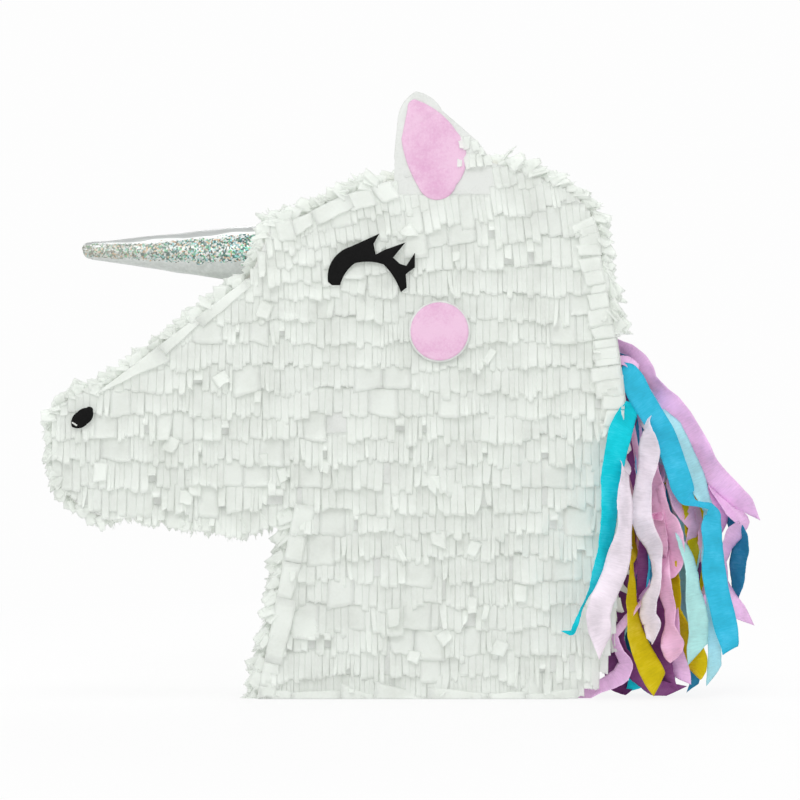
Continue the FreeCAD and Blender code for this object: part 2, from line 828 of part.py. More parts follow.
def make_loop():
    """The cord's loop, folded forward along the brow."""
    radius = size("cord_radius")
    half = size("cord_spacing") / 2
    reach = size("loop_length")
    slope = brow_slope()
    hinge = brow_point(size("loop_lift"))

    def along(distance, side):
        return hinge + slope * distance + Vector(0, side, 0)

    near_hinge = size("loop_start")
    bend = Part.Arc(along(reach - half, half), along(reach, 0), along(reach - half, -half))
    path = Part.Wire([
        Part.makeLine(along(near_hinge, half), along(reach - half, half)),
        bend.toShape(),
        Part.makeLine(along(reach - half, -half), along(near_hinge, -half)),
    ])
    ring = Part.Wire(Part.makeCircle(radius, along(near_hinge, half), slope))
    loop = doc.addObject("Part::Feature", "loop_cord")
    loop.Shape = path.makePipeShell([ring], True, False)
    add_part(loop, "hanging_loop")


def make_cord_tail():
    """The cord's two fixed ends, from just above the brow band down to a knot under the anchor."""
    radius = size("cord_radius")
    half = size("cord_spacing") / 2
    foot = brow_point(-size("anchor_drop"))
    tail = None
    for side in (-1, 1):
        leg = doc.addObject("Part::Cylinder", "cord_leg")
        leg.setExpression("Radius", "Sheet.cord_radius")
        leg.setExpression("Height", "Sheet.anchor_drop + Sheet.loop_lift + Sheet.cord_radius / 2")
        leg.Placement = Placement(foot + Vector(0, side * half, 0), Rotation())
        tail = leg if tail is None else boolean("Fuse", "cord_pair", tail, leg)
    knot = doc.addObject("Part::Box", "cord_knot")
    knot.setExpression("Length", "Sheet.cord_radius * 4")
    knot.setExpression("Width", "Sheet.cord_spacing + Sheet.cord_radius * 4")
    knot.setExpression("Height", "Sheet.cord_radius * 3")
    knot.Placement = Placement(foot - Vector(2 * radius, half + 2 * radius, 3 * radius), Rotation())
    add_part(boolean("Fuse", "cord_tail_knot", tail, knot), "cord_tail")


def make_anchor():
    """Card plate under the brow band, which spreads the cord's pull."""
    plate = doc.addObject("Part::Box", "anchor_sheet")
    plate.setExpression("Length", "Sheet.anchor_length")
    plate.setExpression("Width", "Sheet.anchor_width")
    plate.setExpression("Height", "Sheet.anchor_card")
    slope = brow_slope()
    turn = Rotation(Vector(0, 1, 0), math.degrees(math.asin(slope.z)))
    corner = Vector(-size("anchor_length") / 2, -size("anchor_width") / 2, -size("anchor_card"))
    inner_face = brow_point(-(size("band_card") + size("cord_clearance")) / -slope.x)
    plate.Placement = Placement(inner_face + turn.multVec(corner), turn)
    add_part(cord_holes("anchor", plate), "cord_anchor")


# Mane


def ribbon_loop(width, centre):
    """The outline of a flat ribbon of one width along a centre line."""
    half = width / 2
    left = []
    right = []
    for number, (x, z) in enumerate(centre):
        before = centre[max(number - 1, 0)]
        after = centre[min(number + 1, len(centre) - 1)]
        normal = outward(before, after)
        left.append((x + normal[0] * half, max(z + normal[1] * half, 0.5), None))
        right.append((x - normal[0] * half, max(z - normal[1] * half, 0.5), None))
    return left + right[::-1]


def make_mane():
    """The glued root strip on the nape, and one sub-part for each colour of ribbon."""
    inner = offset_outline(0)
    outer = offset_outline(size("mane_root_thickness"))
    root = stretch(inner, outer, "mane_top", "mane_low")
    add_part(slab("root_strip", [root], INSIDE_FAR, INSIDE_WIDTH), "mane_root")
    for name, ribbons in STREAMERS.items():
        body = new_body(name + "_ribbons")
        for level, width, centre in ribbons:
            sketch = side_sketch(body, str(level))
            draw_loop(sketch, ribbon_loop(width, centre))
            pad(body, sketch, "Sheet.streamer_thickness")
        add_part(body, name)


def check_objects():
    """Stops if any object failed to build or any sub-part isn't a valid closed solid."""
    for item in doc.Objects:
        if "Invalid" in item.State or "Error" in item.State:
            raise RuntimeError(f"{item.Name} did not build: {item.State}")
    for item in finished:
        shape = item.Shape
        if shape.isNull() or not shape.isValid() or not shape.Solids:
            raise RuntimeError(f"{item.Label} is not a valid solid")


def export_parts():
    os.makedirs("parts", exist_ok=True)
    for item in finished:
        item.Shape.exportStep(f"parts/{item.Label}.step")


fill_sheet()
make_panels()
make_door()
make_bands()
make_glue_tabs()
make_face_fringe()
make_band_fringe()
make_ears()
make_face()
make_horn()
make_loop()
make_cord_tail()
make_anchor()
make_mane()
doc.recompute()
check_objects()
export_parts()
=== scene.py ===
import json
import math

import bmesh
import bpy
import mathutils.geometry
import numpy as np
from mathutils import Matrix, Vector


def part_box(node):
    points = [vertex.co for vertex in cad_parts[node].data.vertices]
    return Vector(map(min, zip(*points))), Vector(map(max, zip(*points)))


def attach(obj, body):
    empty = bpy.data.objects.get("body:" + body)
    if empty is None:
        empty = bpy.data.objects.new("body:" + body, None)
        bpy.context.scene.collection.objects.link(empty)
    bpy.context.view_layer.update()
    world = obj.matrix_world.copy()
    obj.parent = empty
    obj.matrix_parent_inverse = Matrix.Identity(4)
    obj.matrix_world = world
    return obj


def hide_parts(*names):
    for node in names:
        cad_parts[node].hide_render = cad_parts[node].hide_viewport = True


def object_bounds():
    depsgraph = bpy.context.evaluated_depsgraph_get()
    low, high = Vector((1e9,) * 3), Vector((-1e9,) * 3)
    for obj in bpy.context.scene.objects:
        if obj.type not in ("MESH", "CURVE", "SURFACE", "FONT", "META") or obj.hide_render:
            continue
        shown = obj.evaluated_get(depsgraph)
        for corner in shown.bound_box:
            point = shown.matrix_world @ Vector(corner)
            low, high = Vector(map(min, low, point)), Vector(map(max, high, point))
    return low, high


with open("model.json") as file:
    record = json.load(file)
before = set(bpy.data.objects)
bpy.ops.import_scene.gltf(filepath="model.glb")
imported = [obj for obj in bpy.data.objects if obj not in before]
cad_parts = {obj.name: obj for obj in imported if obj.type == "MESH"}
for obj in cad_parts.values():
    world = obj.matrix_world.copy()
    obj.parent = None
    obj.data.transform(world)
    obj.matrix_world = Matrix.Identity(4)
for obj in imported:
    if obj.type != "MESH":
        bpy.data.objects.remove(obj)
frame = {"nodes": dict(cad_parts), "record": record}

# The looks of a unicorn-head pinata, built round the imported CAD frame. Lengths in this script are
# millimetres in the CAD's frame; they become metres where a mesh is made.

cad_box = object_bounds()
MM = 0.001
GRAVITY = np.array([0.0, 0.0, -1.0])
NEAR = np.array([0.0, -1.0, 0.0])
FAR = np.array([0.0, 1.0, 0.0])

# The face's rows of fringe are this far apart.
ROW_PITCH = 14.5
# Each tab is a grid of this many cells down and across.
TAB_STEPS = 7
TAB_COLUMNS = 5
# Tabs that stand further off a face than this are pressed back.
TAB_REACH = 8.5
TISSUE_THICKNESS = 0.11
SHEET_THICKNESS = 0.16
# Pasted sheets run past the ends and the sides of their band by these.
SHEET_OVERLAP = 1.2
SHEET_SPARE = 0.8
# The x of the horn's root, which the foil's glittering band is measured from.
HORN_ROOT_X = -98.7
# Height from which the search for the foil's root starts.
HORN_ROOT_Z = 270.0
# Rounds of closing in on the place where a line of the horn meets its slanting seat.
SEAT_ROUNDS = 4
# A strip folded over a ridge reaches this many steps of a millimetre down each side.
RIDGE_REACH = 5
# Gap kept round the filling door, so that it turns freely.
DOOR_CLEARANCE = 0.4
# The two ends of the crease across an ear's pink leaf, as (x, z).
EAR_CREASE = np.array([[-7.0, 341.0], [16.0, 356.0]])
# An (x, z) place inside the head, which tells a band's outer side from its inner one.
HEAD_MIDDLE = np.array([0.0, 170.0])
# How far the fringe hangs below the underside, from the muzzle back to the throat.
HANG_X = [-215, -190, -160, -130, -108, -95]
HANG = [1.0, 1.5, 5.5, 8.5, 11.0, 11.5]


# Places read from the frame


def corners(node):
    """Lowest and highest corners of a CAD node, in millimetres."""
    low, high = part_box(node)
    return np.array(low) / MM, np.array(high) / MM


def outer_face(node, side):
    """The y of the flat face that a CAD node turns to one side, -1 for near and 1 for far."""
    low, high = corners(node)
    return low[1] if side < 0 else high[1]


def panel_face(side):
    """The y of the near or the far panel's outer face."""
    return outer_face("front_panel" if side < 0 else "back_panel", side)


def border_edges(faces):
    """The edges, as ordered pairs of places, that only one of the faces has."""
    border = {}
    for ring in faces:
        for a, b in zip(ring, ring[1:] + ring[:1]):
            if (b, a) in border:
                del border[(b, a)]
            elif a != b:
                border[(a, b)] = True
    return list(border)


def side_loop(node, side):
    """The outline, as ordered (x, z) points, of the flat face that a CAD node turns to one side."""
    mesh = frame["nodes"][node].data
    low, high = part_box(node)
    level = low.y if side < 0 else high.y
    places = [(round(v.co.x / MM, 3), round(v.co.z / MM, 3)) for v in mesh.vertices]
    flat = [abs(v.co.y - level) < 1e-5 for v in mesh.vertices]
    rings = [polygon.vertices for polygon in mesh.polygons if all(flat[i] for i in polygon.vertices)]
    following = dict(border_edges([[places[i] for i in ring] for ring in rings]))
    start = next(iter(following))
    loop = [start]
    while following[loop[-1]] != start:
        loop.append(following[loop[-1]])
    return np.array(loop)


def spans(loop, x):
    """The (low, high) stretches of z that lie inside a loop at x."""
    after = np.roll(loop, -1, axis=0)
    crossing = (loop[:, 0] <= x) != (after[:, 0] <= x)
    a, b = loop[crossing], after[crossing]
    z = np.sort(a[:, 1] + (x - a[:, 0]) * (b[:, 1] - a[:, 1]) / (b[:, 0] - a[:, 0]))
    return list(zip(z[0::2], z[1::2]))


def loop_distance(points, loop):
    """Distance from each (x, z) point to the nearest edge of a loop."""
    nearest = np.full(len(points), np.inf)
    for a, b in zip(loop, np.roll(loop, -1, axis=0)):
        edge = b - a
        share = np.clip(((points - a) @ edge) / (edge @ edge + 1e-12), 0, 1)
        nearest = np.minimum(nearest, np.linalg.norm(points - a - share[:, None] * edge, axis=1))
    return nearest


def inside(points, loop, margin):
    """True for the (x, z) points inside a loop or within a margin of it."""
    x, z = points[:, 0], points[:, 1]
    result = np.zeros(len(points), bool)
    for a, b in zip(loop, np.roll(loop, -1, axis=0)):
        if a[1] != b[1]:
            crosses = (a[1] > z) != (b[1] > z)
            at = a[0] + (z - a[1]) * (b[0] - a[0]) / (b[1] - a[1])
            result ^= crosses & (x < at)
    return result | (loop_distance(points, loop) < margin)


# Meshes


def build_object(name, verts, faces, material, sheet=None, rim=None):
    """A smooth mesh object from vertices in millimetres. sheet holds, for each vertex, the distances
    across and along its own strip of paper and a number that tells the strips apart; rim is true for
    the narrow faces of cut edges, which stay flat."""
    mesh = bpy.data.meshes.new(name)
    mesh.vertices.add(len(verts))
    mesh.vertices.foreach_set("co", (np.asarray(verts, np.float32) * MM).ravel())
    sizes = np.array([len(face) for face in faces], np.int32)
    flat = np.concatenate([np.asarray(face, np.int32) for face in faces])
    mesh.loops.add(len(flat))
    mesh.loops.foreach_set("vertex_index", flat)
    mesh.polygons.add(len(sizes))
    mesh.polygons.foreach_set("loop_start", np.concatenate([[0], np.cumsum(sizes)[:-1]]).astype(np.int32))
    mesh.update(calc_edges=True)
    smooth = np.ones(len(sizes), bool)
    if rim is not None:
        smooth[np.asarray(rim)] = False
    mesh.polygons.foreach_set("use_smooth", smooth)
    mesh.validate()
    if sheet is not None:
        layer = mesh.attributes.new("sheet", "FLOAT_VECTOR", "POINT")
        layer.data.foreach_set("vector", np.asarray(sheet, np.float32).ravel())
    return put_in_scene(name, mesh, material)


def put_in_scene(name, mesh, material):
    """An object in the scene from a mesh, or from a bmesh that it uses up."""
    if isinstance(mesh, bmesh.types.BMesh):
        bm, mesh = mesh, bpy.data.meshes.new(name)
        bm.to_mesh(mesh)
        bm.free()
    mesh.materials.append(material)
    piece = bpy.data.objects.new(name, mesh)
    bpy.context.scene.collection.objects.link(piece)
    return piece


def add_piece(piece, body, slot, *nodes):
    """Gives a piece its body and hides the CAD nodes it stands for; its material slot is not used."""
    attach(piece, body)
    if nodes:
        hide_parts(*nodes)
    return piece


def sheet_faces(rows, columns):
    """Faces of a closed thin sheet whose front grid is followed by its back grid."""
    count = rows * columns
    grid = np.arange(count).reshape(rows, columns)
    a, b, c, d = grid[:-1, :-1], grid[:-1, 1:], grid[1:, 1:], grid[1:, :-1]
    front = np.stack([a, b, c, d], -1).reshape(-1, 4)
    back = front[:, ::-1] + count
    rim = np.concatenate([grid[0, :-1], grid[:-1, -1], grid[-1, :0:-1], grid[:0:-1, 0]])
    following = np.roll(rim, -1)
    edge = np.stack([following, rim, rim + count, following + count], -1)
    return np.concatenate([front, back, edge])


def thicken(grids, thickness):
    """Closed thin sheets from grids shaped (sheets, rows, columns, 3): vertices, faces, the place of
    each vertex on its own strip, and which faces are cut edges."""
    along = np.gradient(grids, axis=1)
    across = np.gradient(grids, axis=2)
    normal = unit(np.cross(across, along))
    half = normal * thickness / 2
    number, rows, columns, _ = grids.shape
    count = rows * columns
    verts = np.concatenate([(grids + half).reshape(number, count, 3),
                            (grids - half).reshape(number, count, 3)], axis=1)
    faces = sheet_faces(rows, columns)
    faces = faces[None] + (np.arange(number) * 2 * count)[:, None, None]
    steps = np.linalg.norm(np.diff(grids, axis=1), axis=-1).mean(axis=2)
    far = np.concatenate([np.zeros((number, 1)), np.cumsum(steps, axis=1)], axis=1)
    gaps = np.linalg.norm(np.diff(grids, axis=2), axis=-1).mean(axis=1)
    aside = np.concatenate([np.zeros((number, 1)), np.cumsum(gaps, axis=1)], axis=1)
    places = np.zeros((number, rows, columns, 3))
    places[..., 0] = aside[:, None, :]
    places[..., 1] = far[:, :, None]
    # Each strip's own number, spread evenly between 0 and 1.
    places[..., 2] = (np.arange(number) * 0.618034 % 1)[:, None, None]
    places = np.concatenate([places.reshape(number, count, 3)] * 2, axis=1)
    rim = np.arange(faces.shape[1]) >= 2 * (rows - 1) * (columns - 1)
    return verts.reshape(-1, 3), faces.reshape(-1, 4), places.reshape(-1, 3), np.tile(rim, number)


def across_path(path, aside):
    """Two directions across a path at each of its points, which turn as little as they can."""
    tangent = unit(np.gradient(path, axis=0))
    start = np.cross(tangent[0], aside)
    normals = [start / np.linalg.norm(start)]
    for t in tangent[1:]:
        kept = normals[-1] - t * np.dot(normals[-1], t)
        normals.append(kept / np.linalg.norm(kept))
    normal = np.array(normals)
    return normal, np.cross(tangent, normal)


def ring_faces(around, steps):
    """The faces between rings of points, which follow each other in one list of vertices."""
    faces = []
    for i in range(steps):
        for j in range(around):
            k = (j + 1) % around
            faces.append((i * around + j, i * around + k, (i + 1) * around + k, (i + 1) * around + j))
    return faces


def tube(path, radius, sides=8):
    """A closed round tube along a path; radius is a number or one for each point."""
    path = np.asarray(path, float)
    normal, other = across_path(path, [0.31, 0.9, 0.27])
    angles = np.linspace(0, 2 * math.pi, sides, endpoint=False)
    radii = np.broadcast_to(np.asarray(radius, float), (len(path),))[:, None, None]
    ring = normal[:, None] * np.cos(angles)[None, :, None] + other[:, None] * np.sin(angles)[None, :, None]
    verts = (path[:, None] + ring * radii).reshape(-1, 3)
    faces = ring_faces(sides, len(path) - 1)
    faces.append(tuple(range(sides))[::-1])
    faces.append(tuple((len(path) - 1) * sides + j for j in range(sides)))
    return verts, faces


def join_meshes(parts):
    """One list of vertices and one of faces from several."""
    verts, faces, count = [], [], 0
    for part_verts, part_faces in parts:
        verts.append(part_verts)
        faces += [tuple(i + count for i in face) for face in part_faces]
        count += len(part_verts)
    return np.concatenate(verts), faces


def join_sheets(parts):
    """One mesh from several that thicken made, in the same four lists."""
    verts, faces = join_meshes([(part[0], part[1]) for part in parts])
    sheet = np.concatenate([part[2] for part in parts])
    rim = np.concatenate([part[3] for part in parts])
    return verts, faces, sheet, rim


def even_loop(loop, step):
    """The same loop with corners kept and points no further apart than a step."""
    points = []
    for a, b in zip(loop, np.roll(loop, -1, axis=0)):
        count = max(1, math.ceil(np.linalg.norm(b - a) / step))
        points += [a + (b - a) * i / count for i in range(count)]
    return np.array(points)


def patch(loop, spacing, front, back):
    """A closed flat body over a loop in the (x, z) plane. front and back give the y of each side from
    the points and their distances to the rim."""
    loop = even_loop(loop, spacing)
    low, high = loop.min(axis=0), loop.max(axis=0)
    # The points inside are those of a grid of triangles.
    columns = np.arange(low[0], high[0], spacing)
    rows = np.arange(low[1], high[1], spacing * 0.866)
    shift = (np.arange(len(rows)) % 2) * spacing / 2
    grid = np.array([(x + s, z) for z, s in zip(rows, shift) for x in columns])
    grid = grid[inside(grid, loop, 0) & (loop_distance(grid, loop) > spacing * 0.6)]
    points = np.concatenate([loop, grid])
    ring = [(i, (i + 1) % len(loop)) for i in range(len(loop))]
    found = mathutils.geometry.delaunay_2d_cdt([Vector(p) for p in points], ring, [], 1, 1e-6)
    flat = np.array([tuple(v) for v in found[0]])
    depth = loop_distance(flat, loop)
    count = len(flat)
    near = np.stack([flat[:, 0], front(flat, depth), flat[:, 1]], 1)
    far = np.stack([flat[:, 0], back(flat, depth), flat[:, 1]], 1)
    faces = []
    for face in found[2]:
        faces.append(tuple(face))
        faces.append(tuple(i + count for i in reversed(face)))
    flat_count = len(faces)
    faces += [(b, a, a + count, b + count) for a, b in border_edges(found[2])]
    rim = np.arange(len(faces)) >= flat_count
    return np.concatenate([near, far]), faces, rim


def fix_normals(piece):
    """Turns a closed piece's faces outwards."""
    bm = bmesh.new()
    bm.from_mesh(piece.data)
    bmesh.ops.recalc_face_normals(bm, faces=bm.faces)
    bm.to_mesh(piece.data)
    bm.free()
    return piece


def unit(vectors):
    """The same vectors at a length of one."""
    return vectors / (np.linalg.norm(vectors, axis=-1, keepdims=True) + 1e-12)


def waves(points, seed, size, number=7):
    """Smooth pseudo-random ripples of about unit height over points of any dimension."""
    rng = np.random.default_rng(seed)
    total = np.zeros(len(points))
    for _ in range(number):
        direction = rng.normal(0, 1, points.shape[1])
        direction /= np.linalg.norm(direction)
        stretch = rng.uniform(0.6, 1.7) * 2 * math.pi / size
        total += np.sin(points @ direction * stretch + rng.uniform(0, 2 * math.pi))
    return total / math.sqrt(number)


# Materials


def node_material(name, colour, roughness):
    """A material with its principled shader, node tree and object-space coordinates in millimetres."""
    material = bpy.data.materials.new(name)
    material.use_nodes = True
    tree = material.node_tree
    shader = tree.nodes["Principled BSDF"]
    shader.inputs["Base Color"].default_value = (*colour, 1)
    shader.inputs["Roughness"].default_value = roughness
    place = tree.nodes.new("ShaderNodeTexCoord")
    scale = tree.nodes.new("ShaderNodeVectorMath")
    scale.operation = "SCALE"
    scale.inputs["Scale"].default_value = 1 / MM
    tree.links.new(place.outputs["Object"], scale.inputs[0])
    return material, tree, shader, scale.outputs[0]


def stretched(tree, coordinates, factors):
    """Coordinates multiplied per axis, for patterns that run one way."""
    node = tree.nodes.new("ShaderNodeVectorMath")
    node.operation = "MULTIPLY"
    node.inputs[1].default_value = factors
    tree.links.new(coordinates, node.inputs[0])
    return node.outputs[0]


def noise_value(tree, coordinates, scale, detail=3.0, roughness=0.55):
    """Soft noise between 0 and 1, its scale in patterns a millimetre."""
    node = tree.nodes.new("ShaderNodeTexNoise")
    node.inputs["Scale"].default_value = scale
    node.inputs["Detail"].default_value = detail
    node.inputs["Roughness"].default_value = roughness
    tree.links.new(coordinates, node.inputs["Vector"])
    return node.outputs["Fac"]


def colour_ramp(tree, value, stops):
    """A value turned into a colour; stops are (position, colour) pairs."""
    ramp = tree.nodes.new("ShaderNodeValToRGB")
    elements = ramp.color_ramp.elements
    while len(elements) < len(stops):
        elements.new(0.5)
    for element, (position, colour) in zip(elements, stops):
        element.position = position
        element.color = (*colour, 1)
    tree.links.new(value, ramp.inputs["Fac"])
    return ramp.outputs["Color"]


def mix_colours(tree, share, first, second):
    """A blend of two colours, each a node's output or a fixed value."""
    node = tree.nodes.new("ShaderNodeMix")
    node.data_type = "RGBA"
    for socket, value in ((node.inputs["Factor"], share), (node.inputs[6], first), (node.inputs[7], second)):
        if isinstance(value, bpy.types.NodeSocket):
            tree.links.new(value, socket)
        elif isinstance(value, tuple):
            socket.default_value = (*value, 1)
        else:
            socket.default_value = value
    return node.outputs[2]


def add_bump(tree, shader, height, strength, distance):
    """Fine relief in the surface's shading, its depth in millimetres."""
    node = tree.nodes.new("ShaderNodeBump")
    node.inputs["Strength"].default_value = strength
    node.inputs["Distance"].default_value = distance * MM
    tree.links.new(height, node.inputs["Height"])
    tree.links.new(node.outputs["Normal"], shader.inputs["Normal"])


def let_light_through(tree, shader, colour, share):
    """Mixes in a translucent shader, as thin tissue glows on its unlit side."""
    glow = tree.nodes.new("ShaderNodeBsdfTranslucent")
    if isinstance(colour, bpy.types.NodeSocket):
        tree.links.new(colour, glow.inputs["Color"])
    else:
        glow.inputs["Color"].default_value = (*colour, 1)
    mix = tree.nodes.new("ShaderNodeMixShader")
    mix.inputs[0].default_value = share
    output = tree.nodes["Material Output"]
    tree.links.new(shader.outputs[0], mix.inputs[1])
    tree.links.new(glow.outputs[0], mix.inputs[2])
    tree.links.new(mix.outputs[0], output.inputs["Surface"])


def sheet_place(tree):
    """Distances across and along a strip in millimetres, and the strip's own number."""
    node = tree.nodes.new("ShaderNodeAttribute")
    node.attribute_name = "sheet"
    return node.outputs["Vector"]


def arithmetic(tree, operation, *values):
    """The result of a sum on node outputs and numbers."""
    node = tree.nodes.new("ShaderNodeMath")
    node.operation = operation
    for socket, value in zip(node.inputs, values):
        if isinstance(value, bpy.types.NodeSocket):
            tree.links.new(value, socket)
        else:
            socket.default_value = value
    return node.outputs[0]


# Painted glow, standing in for the light that reaches a sheet of thin tissue from all the sheets behind it:
# the strength of emission for each unit of glow.
PAINTED_GLOW = 0.3


def tissue_material(name, light, dark, glow, own_strips=True):
    """Thin tissue: each strip has its own tone, with fine creases along it, light through it and a painted
    glow that lifts its shade.
    """
    material, tree, shader, place = node_material(name, light, 0.85)
    if own_strips:
        strip = sheet_place(tree)
        tone_place = stretched(tree, strip, (0.02, 0.02, 40.0))
        crease_place = stretched(tree, strip, (0.9, 0.12, 60.0))
    else:
        tone_place = place
        crease_place = stretched(tree, place, (0.3, 0.3, 0.3))
    slow = noise_value(tree, place, 0.05, 2)
    tone = noise_value(tree, tone_place, 1.0, 1)
    fine = noise_value(tree, place, 0.6, 4)
    blend = arithmetic(tree, "MULTIPLY_ADD", tone, 0.25, slow)
    blend = arithmetic(tree, "MULTIPLY_ADD", fine, 0.55, blend)
    colour = colour_ramp(tree, blend, [(0.62, dark), (1.0, light)])
    tree.links.new(colour, shader.inputs["Base Color"])
    shader.inputs["Specular IOR Level"].default_value = 0.2
    creases = noise_value(tree, crease_place, 1.0, 5, 0.65)
    crumple = noise_value(tree, place, 0.45, 3, 0.6)
    add_bump(tree, shader, arithmetic(tree, "ADD", creases, crumple), 0.5, 0.4)
    # Painted glow: the tissue emits its own colour, which lifts its shadows and creases.
    tree.links.new(colour, shader.inputs["Emission Color"])
    shader.inputs["Emission Strength"].default_value = PAINTED_GLOW * glow
    let_light_through(tree, shader, colour, glow)
    return material


def card_material():
    """Brown corrugated card: fibres, faint flute lines and a dry surface."""
    material, tree, shader, place = node_material("card", (0.50, 0.34, 0.20), 0.9)
    fibres = noise_value(tree, stretched(tree, place, (0.25, 0.25, 1.6)), 1.0, 6, 0.7)
    flutes = tree.nodes.new("ShaderNodeTexWave")
    flutes.inputs["Scale"].default_value = 0.32
    flutes.inputs["Distortion"].default_value = 0.4
    tree.links.new(place, flutes.inputs["Vector"])
    colour = colour_ramp(tree, fibres, [(0.3, (0.40, 0.26, 0.145)), (0.7, (0.56, 0.39, 0.235))])
    tree.links.new(colour, shader.inputs["Base Color"])
    add_bump(tree, shader, flutes.outputs["Fac"], 0.25, 0.25)
    return material


def black_card_material():
    """Black card with a satin face and faint fibres."""
    material, tree, shader, place = node_material("black_card", (0.002, 0.002, 0.002), 0.6)
    shader.inputs["Specular IOR Level"].default_value = 0.12
    fibres = noise_value(tree, place, 0.9, 5)
    colour = colour_ramp(tree, fibres, [(0.35, (0.001, 0.001, 0.001)), (0.7, (0.004, 0.004, 0.004))])
    tree.links.new(colour, shader.inputs["Base Color"])
    add_bump(tree, shader, fibres, 0.2, 0.15)
    return material


def cotton_material():
    """Off-white cotton with fine fibres."""
    material, tree, shader, place = node_material("cotton_cord", (0.80, 0.78, 0.72), 0.85)
    fibres = noise_value(tree, place, 2.2, 5)
    colour = colour_ramp(tree, fibres, [(0.3, (0.66, 0.64, 0.58)), (0.7, (0.84, 0.82, 0.77))])
    tree.links.new(colour, shader.inputs["Base Color"])
    add_bump(tree, shader, fibres, 0.5, 0.3)
    return material


def foil_material():
    """Holographic foil: mirror-like, with fine cells that each flash one colour across its middle, in a band
    of painted reflection, under a painted shade on the top and a painted glint.
    """
    material, tree, shader, place = node_material("holographic_foil", (0.8, 0.82, 0.83), 0.25)
    cells = tree.nodes.new("ShaderNodeTexVoronoi")
    cells.inputs["Scale"].default_value = 1.0
    tree.links.new(place, cells.inputs["Vector"])
    split = tree.nodes.new("ShaderNodeSeparateColor")
    tree.links.new(cells.outputs["Color"], split.inputs["Color"])
    rainbow = colour_ramp(tree, split.outputs[0], [
        (0.0, (0.80, 0.83, 0.82)), (0.20, (0.42, 0.50, 0.48)), (0.31, (0.04, 0.08, 0.08)),
        (0.46, (0.04, 0.17, 0.16)), (0.57, (0.20, 0.58, 0.30)), (0.64, (0.30, 0.66, 0.70)),
        (0.72, (0.07, 0.08, 0.09)), (0.84, (0.70, 0.46, 0.28)), (0.89, (0.75, 0.78, 0.77))])
    surface = tree.nodes.new("ShaderNodeNewGeometry")
    facing = tree.nodes.new("ShaderNodeSeparateXYZ")
    tree.links.new(surface.outputs["Normal"], facing.inputs[0])
    where = tree.nodes.new("ShaderNodeSeparateXYZ")
    tree.links.new(place, where.inputs[0])
    # Painted reflection: the glittering band lies along the cone's side, between an upper and a lower tilt of
    # its surface, where the foil catches the light.
    from_root = arithmetic(tree, "ADD", where.outputs["X"], -HORN_ROOT_X)
    upper = arithmetic(tree, "MULTIPLY_ADD", from_root, 0.0008, 0.62)
    lower = arithmetic(tree, "MULTIPLY_ADD", from_root, 0.0033, -0.32)
    ragged = arithmetic(tree, "MULTIPLY_ADD", split.outputs[1], 0.14, -0.07)
    tilt = arithmetic(tree, "ADD", facing.outputs["Z"], ragged)
    below = arithmetic(tree, "LESS_THAN", tilt, upper)
    above = arithmetic(tree, "GREATER_THAN", tilt, lower)
    band = arithmetic(tree, "MULTIPLY", below, above)
    silver_and_painted_sheen = colour_ramp(tree, noise_value(tree, place, 0.5, 4), [
        (0.3, (0.58, 0.60, 0.59)), (0.7, (0.70, 0.72, 0.71))])
    # Painted shade: the surface that faces up, above the band, is darker; a painted glint, a white stripe,
    # lies between it and the band.
    top = arithmetic(tree, "GREATER_THAN", facing.outputs["Z"], upper)
    silver_and_painted_sheen = mix_colours(tree, top, silver_and_painted_sheen, (0.50, 0.52, 0.51))
    glint_end = arithmetic(tree, "ADD", upper, 0.12)
    glint = arithmetic(tree, "LESS_THAN", facing.outputs["Z"], glint_end)
    glint = arithmetic(tree, "MULTIPLY", top, glint)
    silver_and_painted_sheen = mix_colours(tree, glint, silver_and_painted_sheen, (0.82, 0.84, 0.83))
    faded = arithmetic(tree, "MULTIPLY", from_root, -0.0058)
    faded.node.use_clamp = True
    rainbow = mix_colours(tree, faded, rainbow, (0.44, 0.43, 0.36))
    colour = mix_colours(tree, band, silver_and_painted_sheen, rainbow)
    tree.links.new(colour, shader.inputs["Base Color"])
    shader.inputs["Metallic"].default_value = 0.35
    roughness = arithmetic(tree, "MULTIPLY_ADD", split.outputs[1], 0.2, 0.3)
    tree.links.new(roughness, shader.inputs["Roughness"])
    add_bump(tree, shader, arithmetic(tree, "MULTIPLY", split.outputs[2], band), 0.3, 0.25)
    return material


def crepe_material(name, colour, glow=0.2):
    """Crepe paper: fine crinkles across the streamer, with painted shade in its creases, a painted highlight
    on its ridges and a painted glow.
    """
    material, tree, shader, place = node_material(name, colour, 0.8)
    strip = sheet_place(tree)
    # Painted shade and highlight: the tone follows the crinkle that also makes the bump, darker in the
    # creases and lighter on the ridges, over a slow random tone.
    dark = tuple(c * 0.84 for c in colour)
    painted_ridge_highlight = tuple(min(1.0, c * 1.08 + 0.04) for c in colour)
    slow = noise_value(tree, place, 0.06, 3)
    crinkle = noise_value(tree, stretched(tree, strip, (0.16, 1.1, 30.0)), 1.0, 4, 0.65)
    tone = colour_ramp(tree, arithmetic(tree, "MULTIPLY_ADD", crinkle, 0.55, slow),
                       [(0.55, dark), (0.78, colour), (1.0, painted_ridge_highlight)])
    tree.links.new(tone, shader.inputs["Base Color"])
    shader.inputs["Specular IOR Level"].default_value = 0.3
    add_bump(tree, shader, crinkle, 0.8, 0.5)
    # Painted glow: the paper emits its own tone, which lifts its shade.
    tree.links.new(tone, shader.inputs["Emission Color"])
    shader.inputs["Emission Strength"].default_value = PAINTED_GLOW * glow
    let_light_through(tree, shader, tone, glow)
    return material


WHITE = tissue_material("white_tissue", (0.89, 0.91, 0.885), (0.83, 0.85, 0.82), 0.5)
